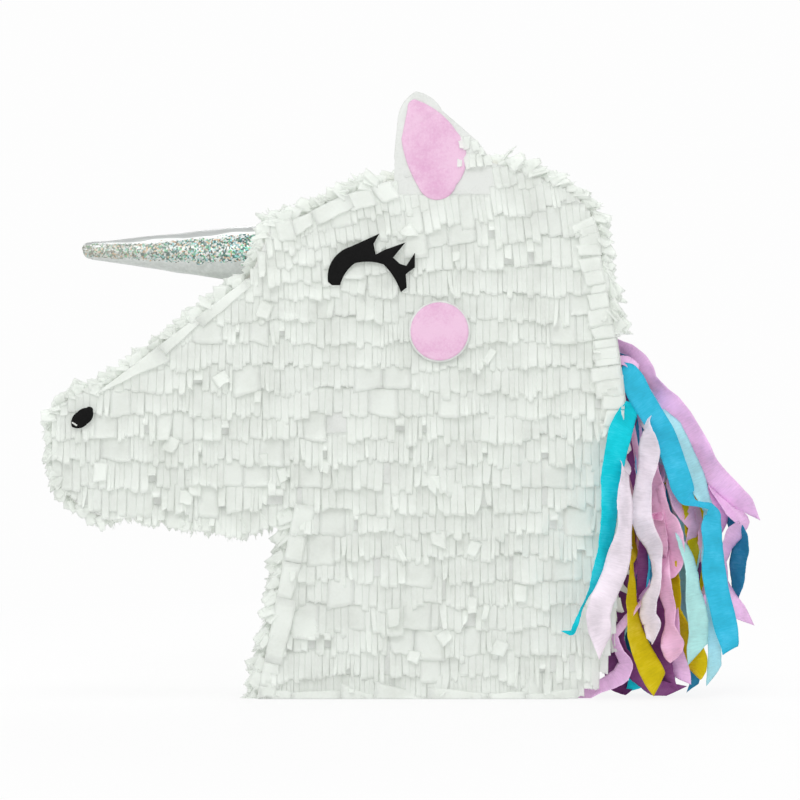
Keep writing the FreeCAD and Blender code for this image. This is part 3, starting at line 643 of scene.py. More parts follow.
# Painted shade: this white sheet is the same tissue as WHITE, made darker, so that flat sheets facing the
# light look shaded.
SHADED_WHITE_SHEET = tissue_material("white_sheet", (0.78, 0.80, 0.775), (0.70, 0.72, 0.69), 0.15, False)
CARD = card_material()
PINK = tissue_material("pink_tissue", (0.86, 0.60, 0.77), (0.77, 0.45, 0.66), 0.2, False)
BLACK = black_card_material()
COTTON = cotton_material()
FOIL = foil_material()


# Fringe


def over_columns(values):
    """Values at every column of each tab, from one value a tab or from its two edges' values."""
    values = np.asarray(values, float)
    if values.ndim == 1:
        values = np.stack([values, values], 1)
    return values[:, :1] + (values[:, 1:] - values[:, :1]) * np.linspace(0, 1, TAB_COLUMNS + 1)


def tab_grids(rng, origin, across, down, out, length, width, lift, curl, sag, loose, pointed=0.0):
    """Grids of paper tabs. Each argument after rng has one entry for each tab: lift and curl are the
    angles away from the surface at the tab's top and bottom, either one a tab or one for each of its
    edges, sag is its pull downwards, loose is how far it strays from its neighbours, and pointed is
    how much of its width it loses towards its end."""
    number = len(length)
    spots = np.linspace(-0.5, 0.5, TAB_COLUMNS + 1)
    twist = rng.normal(0, 0.015, number) + rng.normal(0, 0.45, number) * loose
    sway = rng.normal(0, 0.04, number) + rng.normal(0, 1.6, number) * loose
    slant = rng.normal(0, 0.14, number) + rng.normal(0, 0.3, number) * loose
    cup = rng.normal(0.0, 0.08, number) * loose
    bend = (1.5 + rng.uniform(-0.3, 0.4, number) * loose)[:, None]
    taper = 1 + rng.uniform(-0.015, 0.01, number) - 0.12 * loose - pointed
    ripple = (0.04 + 0.2 * loose)[:, None]
    phases = rng.uniform(0, 2 * math.pi, (number, 3))[:, :, None]
    frayed = rng.normal(0, 0.34, (number, TAB_COLUMNS + 1)) + rng.normal(0, 0.6, (number, 1))
    held = 1 - (2 * spots) ** 2
    pleats = rng.normal(0, 0.07, (number, TAB_COLUMNS + 1)) * np.minimum(width / 4, 1.6)[:, None] * held
    pleats += rng.normal(0, 0.1, (number, TAB_COLUMNS + 1)) * loose[:, None]
    lift, curl = over_columns(lift), over_columns(curl)
    flat_shift = across[:, None] * (spots[None] * width[:, None])[..., None]
    # A tab is traced row by row: place is where its middle line has got to, column by column.
    place = origin[:, None] + flat_shift
    grids = np.zeros((number, TAB_STEPS + 1, TAB_COLUMNS + 1, 3))
    heading = None
    step = (length / TAB_STEPS)[:, None, None]
    relative = (length / length.mean())[:, None]
    for row in range(TAB_STEPS + 1):
        v = row / TAB_STEPS
        angle = (lift + (curl - lift) * (v * relative) ** bend)[..., None]
        now = down[:, None] * np.cos(angle) + out[:, None] * np.sin(angle)
        now = unit(now + GRAVITY * (sag * v)[:, None, None])
        if heading is not None:
            place = place + unit(now + heading) * step
        heading = now
        turn = (twist * v ** 1.3)[:, None, None]
        side = across[:, None] * np.cos(turn) + np.cross(now, across[:, None]) * np.sin(turn)
        proud = np.cross(side, now)
        proud *= np.sign(np.sum(proud * out[:, None], axis=-1, keepdims=True) + 1e-6)
        size = (width * (1 + (taper - 1) * v))[:, None]
        wave = ripple * np.sin(phases[:, 0] + 5 * v + 3 * spots)
        wave = wave * np.sin(phases[:, 1] + 9 * spots + phases[:, 2] * v)
        raised = cup[:, None] * size * held * v + wave * held * v + pleats * v
        reach = slant[:, None] * spots * size * v + frayed * v ** 4
        aside = spots * size + (sway * v * v)[:, None]
        grids[:, row] = (place - flat_shift + side * aside[..., None] + now * reach[..., None]
                         + proud * raised[..., None])
    return grids


def flat_tabs(rng, side, tops, down, length, width, lift, curl, sag, loose, pointed=0.0):
    """Tabs that hang on a flat face. tops are the x, the y and the z of their tops, down is the way
    they point in that face, and the rest is as tab_grids takes it, with one sag for them all."""
    number = len(length)
    x, y, z = tops
    origin = np.stack([x, np.full(number, y), z], 1)
    across = np.stack([-down[:, 2], np.zeros(number), down[:, 0]], 1)
    out = np.repeat((NEAR if side < 0 else FAR)[None], number, 0)
    return tab_grids(rng, origin, across, down, out, length, width, lift, curl, np.full(number, sag),
                     loose, pointed)


def cut_widths(rng, total):
    """Widths of the tabs cut along a strip: runs of narrow tabs with some wide ones between."""
    widths = []
    while sum(widths) < total:
        if rng.random() < 0.13:
            widths.append(rng.uniform(8, 19))
        else:
            base = rng.uniform(2.2, 5.6)
            widths += list(base * rng.uniform(0.85, 1.2, rng.integers(3, 8)))
    widths = np.array(widths)
    return widths * (total / widths.sum())


def strip_noise(place, row, seed, size):
    """A value of about unit size that drifts along each strip, so that neighbouring tabs match."""
    return waves(np.stack([place / size, row * 7.31], 1), seed, 6.0, 6)


def edge_noise(edges, rows, seed, size):
    """The same value at both edges of each tab, shaped (tabs, 2), so that a strip is unbroken."""
    return strip_noise(edges.ravel(), rows.ravel(), seed, size).reshape(edges.shape)


def face_region():
    """Function of x that gives the (low, high) stretches of a panel that fringe covers."""
    panel = side_loop("front_panel", -1)
    bands = [side_loop("brow_band", -1), side_loop("crown_band", -1)]
    ear_low, ear_high = corners("front_ear_cover")
    ear_foot = ear_low[2] + 6.5

    def stretches(x):
        found = spans(panel, x)
        tops = [high for band in bands for _, high in spans(band, x)]
        if found and tops and ear_low[0] - 1 < x < ear_high[0] + 5:
            cap = ear_foot if ear_low[0] < x < ear_high[0] - 2 else max(tops)
            found[-1] = (found[-1][0], min(found[-1][1], cap))
        return found

    return stretches


def row_level(row, x):
    """Height of a row's cut line at x, and its slope: level over most of the face, and rising to the
    back on the brow."""
    level = row * ROW_PITCH
    share = np.clip((level - 235) / 70, 0, 1)
    tilt = 0.2 * share * share * (3 - 2 * share)
    wander = 0.9 * math.sin(x / 31 + 2.1 * row) + 0.7 * math.sin(x / 13 + 4.7 * row)
    return level + tilt * (x - 20) + wander, tilt


def face_tabs(rng, side, region, breaks, keep):
    """Tabs for one face, with the y of that face and the direction it faces. breaks are x places
    where tabs end cleanly; keep(x, z) picks the tabs."""
    out = NEAR if side < 0 else FAR
    plane = panel_face(side)
    low, high = corners("front_panel")
    seed = int(rng.integers(1000))
    found = []
    for row in range(0, 25):
        edges = [low[0]] + breaks + [high[0]]
        for left, right in zip(edges, edges[1:]):
            widths = cut_widths(rng, right - left)
            middles = left + np.cumsum(widths) - widths / 2
            for x, width in zip(middles, widths):
                level, tilt = row_level(row, x)
                for bottom, top in region(x):
                    anchor = min(top - 0.4, level + ROW_PITCH + 1.6)
                    if anchor < level - 1 or anchor < bottom + 1.5:
                        continue
                    found.append((x, anchor, width, level, tilt, row, bottom))
    found = [tab for tab in found if keep(tab[0], tab[1] - ROW_PITCH / 2)]
    x, anchor, width, level, tilt, row, bottom = np.array(found).T
    number = len(x)
    edges = np.stack([x - width / 2, x + width / 2], 1)
    rows = np.stack([row, row], 1)
    lower_face = np.clip((200 - level) / 80, 0, 1)
    loose = (rng.random(number) < 0.04 + 0.06 * lower_face) * rng.uniform(0.4, 1, number)
    hanging = np.maximum(0, strip_noise(x, row, seed + 4, 7) - 0.7) * (1 + lower_face)
    drop = 3.0 + 1.7 * strip_noise(x, row, seed, 8) + 1.2 * strip_noise(x, row, seed + 5, 2) + 2.2 * hanging
    drop += rng.normal(0, 0.75, number) + 1.2 * loose
    lowest = bottom - np.interp(x, HANG_X, HANG)
    tip = np.maximum(level - np.clip(drop, 0.5, 8), lowest + rng.uniform(0, 2.5, number))
    tip = np.maximum(tip, 1.2)
    length = np.maximum(anchor - tip, 3.5)
    down = unit(np.stack([tilt * 0.8 + rng.normal(0, 0.02, number), np.zeros(number), -np.ones(number)], 1))
    lift = np.radians(4.5 + 2.2 * edge_noise(edges, rows, seed + 1, 9))
    rough = 1 + 0.5 * lower_face[:, None]
    drift = 10 * edge_noise(edges, rows, seed + 2, 6) + 8 * edge_noise(edges, rows, seed + 3, 1.5)
    curl = 15 + rough * drift
    opened = rng.random((number, 2)) < 0.15
    curl = np.radians(np.clip(curl, -4, 58) + opened * rng.normal(0, 7, (number, 2)))
    curl += (loose * np.radians(rng.uniform(15, 75, number)))[:, None]
    folded = rng.random(number) < 0.012 + 0.02 * lower_face
    curl = np.where(folded[:, None], np.radians(rng.uniform(110, 165, number))[:, None], curl)
    missing = rng.random(number) < 0.02 * lower_face
    torn = (loose > 0) * rng.uniform(0, 0.45, number)
    grids = flat_tabs(rng, side, (x, plane + side * 0.55, anchor), down, length, width * 1.05, lift, curl,
                      0.07, loose, torn)
    return grids[~missing], plane, out


def press_under(grids, plane, out, loops, limit):
    """Holds tabs down where a cut-out lies over them."""
    flat = grids.reshape(-1, 3)
    height = (flat[:, 1] - plane) * out[1]
    height = np.where(height > TAB_REACH, TAB_REACH + 0.12 * (height - TAB_REACH), height)
    for loop in loops:
        covered = inside(flat[:, [0, 2]], loop, 2.5)
        over = covered & (height > limit)
        height = np.where(over, limit + 0.04 * np.minimum(height - limit, 5), height)
    flat[:, 1] = plane + out[1] * height
    return flat.reshape(grids.shape)


def keep_clear_of_floor(grids, gap=0.5):
    """The same grids, with nothing lower than a gap above the floor."""
    grids[..., 2] = np.maximum(grids[..., 2], gap)
    return grids


def end_above(grids, level):
    """The same tabs, made shorter where their ends would hang below a level."""
    top = grids[:, :1]
    drop = np.maximum(top[..., 2] - grids[:, -1:, :, 2], 1e-3)
    share = np.clip((top[..., 2] - level) / drop, 0, 1)
    return top + (grids - top) * share[..., None]


def add_sheets(name, parts, body, *nodes):
    """One piece of white tissue from parts that thicken made."""
    verts, faces, sheet, rim = join_sheets(parts)
    return add_piece(build_object(name, verts, faces, WHITE, sheet, rim), body, "white_tissue", *nodes)


def split_tabs(name, grids, body, nodes, limit=1100):
    """Tabs as one or more pieces, so that no piece's mesh is too heavy."""
    parts = max(1, math.ceil(len(grids) / limit))
    for number, share in enumerate(np.array_split(grids, parts)):
        label = name if parts == 1 else f"{name}_{number + 1}"
        add_sheets(label, [thicken(share, TISSUE_THICKNESS)], body, *nodes)


def outline_between(side, start, end):
    """Outline points (x, z) of a panel from nearest one place to nearest another, the shorter way."""
    loop = even_loop(side_loop("front_panel" if side < 0 else "back_panel", side), 2.0)
    first = np.argmin(np.linalg.norm(loop - start, axis=1))
    last = np.argmin(np.linalg.norm(loop - end, axis=1))
    onward = (np.arange((last - first) % len(loop) + 1) + first) % len(loop)
    backward = (first - np.arange((first - last) % len(loop) + 1)) % len(loop)
    way = onward if len(onward) <= len(backward) else backward
    return loop[way]


def trim_tabs(rng, side, path, reach, rise, widths, curl):
    """Strips folded over the panel's edge from the band, which lie on top of the face fringe: how far
    they reach in from the edge, how high they rise off the panel, the least and greatest width, and
    the curl in degrees."""
    out = NEAR if side < 0 else FAR
    plane = panel_face(side)
    _, total = resample(path, 2)
    line, _ = resample(path, max(4, int(total)))
    found = []
    far = 0.0
    while far < total:
        width = rng.uniform(*widths)
        spot, tangent, outward = band_frame(line, min(far + width / 2, total), total)
        found.append((spot[0], spot[1], tangent[0], tangent[1], -outward[0], -outward[1], width))
        far += width * 0.98
    data = np.array(found)
    number = len(data)
    zero = np.zeros(number)
    down = unit(np.stack([data[:, 4], zero, data[:, 5]], 1))
    across = unit(np.stack([data[:, 2], zero, data[:, 3]], 1))
    facing = np.sign(np.sum(np.cross(across, down) * out, axis=1))[:, None]
    across = across * facing
    origin = np.stack([data[:, 0], np.full(number, plane + out[1] * rise), data[:, 1]], 1)
    origin = origin - down * 0.6
    drift = strip_noise(np.arange(number) * 6.0, zero, 7, 6)
    length = reach * (1 + 0.13 * drift + rng.normal(0, 0.05, number))
    lift = np.radians(rng.normal(9, 2, number))
    bend = np.radians(rng.normal(curl, 6, number))
    loose = (rng.random(number) < 0.12) * rng.uniform(0.3, 0.9, number)
    return tab_grids(rng, origin, across, down, np.repeat(out[None], number, 0), length, data[:, 6],
                     lift, bend, zero, loose)


def scrap_tabs(rng, side, region, number):
    """Loosened scraps of tissue that stand away from the face at all angles."""
    low, high = corners("front_panel")
    spots = []
    while len(spots) < number:
        x = rng.uniform(low[0] + 8, high[0] - 40)
        z = rng.uniform(8, 290) if rng.random() < 0.45 else rng.uniform(8, 165)
        if any(bottom + 8 < z < top - 12 for bottom, top in region(x)):
            spots.append((x, z))
    x, z = np.array(spots).T
    turn = rng.normal(0, 0.3, number)
    down = np.stack([np.sin(turn), np.zeros(number), -np.cos(turn)], 1)
    length = rng.uniform(7, 13, number)
    width = rng.uniform(3, 10, number)
    lift = np.radians(rng.uniform(4, 18, number))
    curl = np.radians(rng.uniform(10, 60, number))
    loose = rng.uniform(0.2, 1, number)
    return flat_tabs(rng, side, (x, panel_face(side) + side * 3.2, z), down, length, width, lift, curl,
                     0, loose)


def ear_tabs(rng, side):
    """Short tabs on the lower back of an ear, above the face's top row."""
    node = "front_ear_cover" if side < 0 else "back_ear_cover"
    low, high = corners(node)
    loop = side_loop(node, side)
    found = []
    for level in (low[2] + 22, low[2] + 32):
        x = high[0] - 21
        while x < high[0]:
            width = rng.uniform(2.4, 5)
            for _, top in spans(loop, x + width / 2):
                anchor = min(level + 9, top - 1.0)
                if anchor > level:
                    found.append((x + width / 2, anchor, width, anchor - level + rng.uniform(-1, 1.5)))
            x += width
    x, z, width, length = np.array(found).T
    number = len(x)
    down = unit(np.stack([rng.normal(0.1, 0.12, number), np.zeros(number), -np.ones(number)], 1))
    lift = np.radians(rng.uniform(4, 12, number))
    curl = np.radians(rng.uniform(10, 50, number))
    loose = rng.uniform(0, 0.5, number)
    return flat_tabs(rng, side, (x, outer_face(node, side) + side * 0.5, z), down, np.maximum(length, 5),
                     width, lift, curl, 0, loose)


def edge_trims(rng, side):
    """All the strips folded over one face's edges, each stretch between two (x, z) places."""
    brow = outline_between(side, (-84, 288), (-14, 313))
    nose = outline_between(side, (-101, 253), (-188, 187))
    neck = outline_between(side, (-71, 117), (-92, 6))
    nape = outline_between(side, (104, 290), (127, 162))
    base = outline_between(side, (-92, 0), (90, 0))
    return np.concatenate([
        trim_tabs(rng, side, brow, 11.0, 2.8, (9, 26), 0),
        trim_tabs(rng, side, nose, 6.5, 3.4, (24, 50), 3),
        trim_tabs(rng, side, neck, 11.0, 2.9, (14, 40), 0),
        trim_tabs(rng, side, nape, 14.0, 3.8, (4, 12), 4),
        trim_tabs(rng, side, base, 7.0, 3.0, (18, 45), 2),
        ear_tabs(rng, side),
    ])


def make_face_fringe():
    """Fringe on both faces. The door carries its own, and the fringe round it keeps clear."""
    region = face_region()
    cut_outs = {}
    for side, prefix in ((-1, "front"), (1, "back")):
        cut_outs[side] = [side_loop(f"{prefix}_{part}", side) for part in ("eye", "cheek_backing", "nostril")]
    limit = corners("back_eye")[0][1] - corners("back_panel")[1][1] - 0.5

    rng = np.random.default_rng(11)
    grids, plane, out = face_tabs(rng, -1, region, [], lambda x, z: True)
    grids = np.concatenate([grids, edge_trims(rng, -1), scrap_tabs(rng, -1, region, 24)])
    grids = press_under(grids, plane, out, cut_outs[-1], limit)
    split_tabs("front_tissue_fringe", keep_clear_of_floor(grids), "root", ["front_fringe"])

    door_low, door_high = corners("fill_door")

    def on_door(x, z):
        return door_low[0] < x < door_high[0] and door_low[2] < z < door_high[2]

    rng = np.random.default_rng(12)
    breaks = [door_low[0], door_high[0]]
    grids, plane, out = face_tabs(rng, 1, region, breaks, lambda x, z: not on_door(x, z))
    over_door = (grids[:, 0, 2, 0] > door_low[0]) & (grids[:, 0, 2, 0] < door_high[0])
    over_door &= (grids[:, 0, 2, 2] > door_high[2]) & (grids[:, 0, 2, 2] < door_high[2] + 1.3 * ROW_PITCH)
    grids[over_door] = end_above(grids[over_door], door_high[2] + 5)
    scraps = scrap_tabs(rng, 1, region, 24)
    near_door = ((scraps[..., 0] > door_low[0] - 1) & (scraps[..., 0] < door_high[0] + 1)
                 & (scraps[..., 2] > door_low[2] - 1) & (scraps[..., 2] < door_high[2] + 4)).any(axis=(1, 2))
    grids = np.concatenate([grids, edge_trims(rng, 1), scraps[~near_door]])
    grids = press_under(grids, plane, out, cut_outs[1], limit)
    for edge, away in ((door_low[0], -1), (door_high[0], 1)):
        beside = (grids[:, :1, 2:3, 0] - edge) * away > 0
        beside = beside & (grids[..., 2] < door_high[2] + 5) & (grids[..., 2] > door_low[2] - 1)
        beside &= np.abs(grids[..., 0] - edge) < 6
        clear = away * np.maximum((grids[..., 0] - edge) * away, DOOR_CLEARANCE) + edge
        grids[..., 0] = np.where(beside, clear, grids[..., 0])
    split_tabs("back_tissue_fringe", keep_clear_of_floor(grids), "root", ["back_fringe"])

    rng = np.random.default_rng(13)
    grids, plane, out = face_tabs(rng, 1, region, breaks, on_door)
    folded = door_high[2] - 2 * DOOR_CLEARANCE - 0.2 * np.maximum(grids[..., 1] - plane, 0)
    grids[..., 2] = np.minimum(grids[..., 2], folded)
    split_tabs("door_tissue_fringe", keep_clear_of_floor(grids), "fill_door", ["door_fringe"])


def outer_path(band, downhill):
    """The band's outer edge as ordered (x, z) points; downhill picks which way it runs."""
    loop = side_loop(band, -1)
    on_outline = loop_distance(loop, side_loop("front_panel", -1)) < 0.05
    if band in ("brow_band", "crown_band"):
        left, right = loop[:, 0].min() + 1e-3, loop[:, 0].max() - 1e-3
        top = np.array([max(high for _, high in spans(loop, np.clip(x, left, right))) for x in loop[:, 0]])
        on_outline |= np.abs(loop[:, 1] - top) < 0.05
    starts = np.where(on_outline & ~np.roll(on_outline, 1))[0]
    path = []
    index = starts[0]
    while on_outline[index % len(loop)] and len(path) < len(loop):
        path.append(loop[index % len(loop)])
        index += 1
    path = np.array(path)
    return path if downhill(path) else path[::-1]


def resample(path, count):
    """Evenly spaced points along a path, and the path's length."""
    steps = np.linalg.norm(np.diff(path, axis=0), axis=1)
    far = np.concatenate([[0], np.cumsum(steps)])
    spots = np.linspace(0, far[-1], count)
    return np.stack([np.interp(spots, far, path[:, axis]) for axis in range(path.shape[1])], 1), far[-1]


def band_frame(fine, distance, total):
    """Place, direction and outward normal of a band's outer face at a distance along its path."""
    index = min(int(distance / total * (len(fine) - 1)), len(fine) - 2)
    tangent = unit(fine[min(index + 2, len(fine) - 1)] - fine[max(index - 2, 0)])
    out = np.array([-tangent[1], tangent[0]])
    if np.dot(out, fine[index] - HEAD_MIDDLE) < 0:
        out = -out
    return fine[index], tangent, out


def band_tabs(rng, path, half_width, reach, lift, curl, sag, start=0.0, pitch=ROW_PITCH, tufts=0.5):
    """Tabs in rows across a band. path runs the way the tabs point; angles are in degrees, and tufts
    is the share of tabs near the band's edges that are turned to show their face at the side."""
    _, total = resample(path, 2)
    fine, _ = resample(path, int(total) + 2)
    found = []
    place = start
    row = 0
    while place < total:
        widths = cut_widths(rng, 2 * half_width)
        ys = -half_width + np.cumsum(widths) - widths / 2
        for y, width in zip(ys, widths):
            along = np.clip(place + rng.normal(0, 0.5), 0, total)
            spot, tangent, out = band_frame(fine, along, total)
            found.append((spot[0], y, spot[1], tangent[0], tangent[1], out[0], out[1], width, row, 0))
        for side in (-1, 1):
            for _ in range(int(rng.poisson(tufts * 5))):
                along = np.clip(place + rng.uniform(0, pitch), 0, total)
                spot, tangent, out = band_frame(fine, along, total)
                y = side * (half_width - rng.uniform(-2.5, 9))
                found.append((spot[0], y, spot[1], tangent[0], tangent[1], out[0], out[1],
                              rng.uniform(4.5, 11), row, side))
        place += pitch
        row += 1
    data = np.array(found)
    number = len(data)
    zero = np.zeros(number)
    down = np.stack([data[:, 3], zero, data[:, 4]], 1)
    out = np.stack([data[:, 5], zero, data[:, 6]], 1)
    tuft = data[:, 9] != 0
    turned = rng.uniform(1.0, 1.55, number) * rng.choice([-1, 1], number)
    turn = np.where(tuft, turned, rng.normal(0, 0.08, number))
    aside = np.repeat(np.array([[0.0, 1.0, 0.0]]), number, 0)
    across = aside * np.cos(turn)[:, None] + down * np.sin(turn)[:, None]
    heading = down * np.cos(turn)[:, None] - aside * np.sin(turn)[:, None]
    flare = np.where(tuft, rng.uniform(0.25, 0.95, number), 0)
    flared = down * np.cos(flare)[:, None] + out * np.sin(flare)[:, None]
    heading = unit(np.where(tuft[:, None], flared, heading))
    face = unit(np.cross(across, heading))
    face *= np.sign(np.sum(face * out, axis=1) + 1e-6)[:, None]
    across = unit(np.cross(heading, face))
    origin = data[:, :3] + out * rng.uniform(0.4, 0.8, number)[:, None]
    loose = (rng.random(number) < 0.12) * rng.uniform(0.3, 1, number)
    length = rng.uniform(reach[0], reach[1], number) * np.where(tuft, rng.uniform(0.5, 0.85, number), 1)
    drift = strip_noise(data[:, 1], data[:, 8], int(rng.integers(1000)), 6)
    lifts = (lift[0] + lift[1]) / 2 + drift * (lift[1] - lift[0]) / 3
    lifts = np.radians(np.clip(lifts, 1, 60))
    curls = (curl[0] + curl[1]) / 2 + drift * (curl[1] - curl[0]) / 3
    curls = np.radians(curls + rng.normal(0, 4, number))
    curls = np.where(tuft, np.radians(rng.uniform(-25, 45, number)), curls)
    sags = rng.uniform(sag[0], sag[1], number)
    pointed = np.where(tuft, rng.uniform(0.05, 0.75, number), 0)
    loose = np.where(tuft, rng.uniform(0.2, 0.9, number), loose)
    return tab_grids(rng, origin, across, heading, face, length, data[:, 7] * 1.05 + 0.25, lifts, curls, sags,
                     loose, pointed)


def band_sheet(path, half_width, rise=0.35):
    """Plain tissue pasted along a band, under its fringe, a little past each end."""
    before = path[0] - unit(path[1] - path[0]) * SHEET_OVERLAP
    after = path[-1] + unit(path[-1] - path[-2]) * SHEET_OVERLAP
    path = np.concatenate([[before], path, [after]])
    _, total = resample(path, 2)
    fine, _ = resample(path, int(total) + 2)
    rows = []
    for distance in np.linspace(0, total, max(6, int(total / 5))):
        spot, _, out = band_frame(fine, distance, total)
        spot = spot + out * rise
        rows.append([(spot[0], y, spot[1]) for y in np.linspace(-half_width, half_width, 21)])
    grid = np.array([rows])
    flat = grid.reshape(-1, 3)
    flat[:, [0, 2]] += 0.1 * waves(flat, 91, 11)[:, None]
    return grid


def make_band_fringe():
    """Fringe round the edge of the head, each band's tabs pointing downhill."""
    half = panel_face(1) - 0.5
    ear_low, ear_high = corners("front_ear_cover")
    inner = corners("back_panel")[0][1] - 1.0
    rng = np.random.default_rng(21)

    def lower_x(path):
        return path[-1][0] < path[0][0]

    def higher_x(path):
        return path[-1][0] > path[0][0]

    def lower_z(path):
        return path[-1][1] < path[0][1]

    def add_band(prefix, runs, tabs_of, keep_tabs=None, cover=None, replaces=True):
        """A band's fringe and the sheet under it. runs picks the way its tabs point, tabs_of makes
        them from the band's path, keep_tabs picks some of them and cover is one more sheet."""
        path = outer_path(f"{prefix}_band", runs)
        grids = tabs_of(path)
        if keep_tabs is not None:
            grids = grids[keep_tabs(grids)]
        sheet = keep_clear_of_floor(band_sheet(path, half + SHEET_SPARE), 0.2)
        parts = [thicken(keep_clear_of_floor(grids), TISSUE_THICKNESS), thicken(sheet, SHEET_THICKNESS)]
        if cover is not None:
            parts.append(thicken(cover, SHEET_THICKNESS))
        nodes = [f"{prefix}_fringe"] if replaces else []
        add_sheets(f"{prefix}_tissue_fringe", parts, "root", *nodes)

    def rows(reach, lift, curl, sag, **more):
        return lambda path: band_tabs(rng, path, half, reach, lift, curl, sag, **more)

    def away_from_ears(grids):
        between = (grids[:, 0, 2, 0] > ear_low[0] - 4) & (grids[:, 0, 2, 0] < ear_high[0] + 2)
        wide = np.abs(grids[:, :, :, 1]).max(axis=(1, 2)) > inner
        return ~(between & wide)

    def off_cord(grids):
        cord_low, cord_high = corners("hanging_loop")
        channel = (np.abs(grids[:, 0, 2, 1]) < 9.5) & (grids[:, 0, 2, 0] < cord_high[0] + 6)
        return away_from_ears(grids) & ~(channel & (grids[:, 0, 2, 0] > cord_low[0] - 3))

    def off_mane(grids):
        root_low, root_high = corners("mane_root")
        return ~((grids[:, 0, 2, 2] > root_low[2] - 2) & (grids[:, 0, 2, 2] < root_high[2] + 12))

    def crown_tabs(path):
        """Tabs that end above the mane's root, which swings under them."""
        grids = rows((12, 18), (3, 12), (8, 45), (0, 0.2), pitch=9, tufts=1.5)(path)
        level = corners("mane_root")[1][2] + 1.5
        return end_above(grids[grids[:, 0, 2, 2] > level + 3], level)

    def jaw_tabs(path):
        """Tabs that hang lower towards the throat."""
        grids = rows((11, 18), (8, 25), (30, 75), (0.5, 1.3), pitch=7, tufts=1.1)(path)
        start = grids[:, :1, 2:3, :]
        share = np.interp(start[..., 0], HANG_X, HANG) / HANG[-1]
        return start + (grids - start) * share[..., None]

    def ridge_strip(before, after):
        """A strip folded over the parting where two bands' tabs turn away from each other."""
        ends = []
        for path in (before, after):
            _, total = resample(path, 2)
            ends.append(resample(path, int(total) + 1)[0][RIDGE_REACH])
        return band_sheet(np.array([ends[0], after[0], ends[1]]), half, 1.5)

    crown_cover = ridge_strip(outer_path("brow_band", lower_x), outer_path("crown_band", higher_x))
    add_band("brow", lower_x, rows((12, 17), (3, 12), (8, 45), (0, 0.15), pitch=9, tufts=1.5), off_cord)
    add_band("crown", higher_x, crown_tabs, away_from_ears, crown_cover)
    add_band("nose", lower_x, rows((10, 15), (4, 14), (10, 50), (0, 0.1), start=3, pitch=9, tufts=1.5))
    add_band("muzzle", lower_z, rows((8, 12), (4, 14), (12, 50), (0, 0.2), pitch=7, tufts=1.0))
    add_band("jaw", higher_x, jaw_tabs)
    add_band("throat", lower_z, rows((12, 17), (4, 16), (15, 55), (0, 0.3), pitch=9, tufts=1.4))
    add_band("nape", lower_z, rows((12, 16), (2, 7), (5, 20), (0, 0.2), tufts=0.2), off_mane, replaces=False)


def horn_seat():
    """The lower front end and the upper back end, as (x, z), of the slope that the horn stands on."""
    seat = side_loop("horn_seat_band", -1)
    before_back = seat[seat[:, 0] < seat[:, 0].max() - 0.5]
    return seat[np.argmin(seat[:, 0])], before_back[np.argmax(before_back[:, 1])]


def horn_shape():
    """Straight-line fit of the CAD film: where its tip is, and its top and bottom edges over x."""
    co = np.array([v.co for v in frame["nodes"]["horn_film"].data.vertices]) / MM
    low, high = co.min(axis=0), co.max(axis=0)
    middle = co[np.abs(co[:, 1]) < 0.6]
    upper = middle[middle[:, 2] > (low[2] + high[2]) / 2]
    under = middle[middle[:, 2] < (low[2] + high[2]) / 2]
    return low[0], np.polyfit(upper[:, 0], upper[:, 2], 1), np.polyfit(under[:, 0], under[:, 2], 1)


def horn_axis(top, bottom, x):
    """Height of the horn's axis at x, and its radius there."""
    upper, lower = np.polyval(top, x), np.polyval(bottom, x)
    return (upper + lower) / 2, (upper - lower) / 2


def meet_seat(seat, edges, up, start_z, forward=0.0, gap=0.0):
    """x, z and radius of the place where a line along the horn, at a gap off its surface, meets the
    seat or a plane forward of it. seat is its two ends, edges are the horn's two fitted edges, and up
    is the upward share of the line's direction from the axis."""
    low, high = seat
    lean = (high[0] - low[0]) / (high[1] - low[1])
    z = start_z
    for _ in range(SEAT_ROUNDS):
        x = low[0] + (z - low[1]) * lean - forward
        centre, radius = horn_axis(*edges, x)
        radius += gap
        z = centre + radius * up
    return x, z, radius


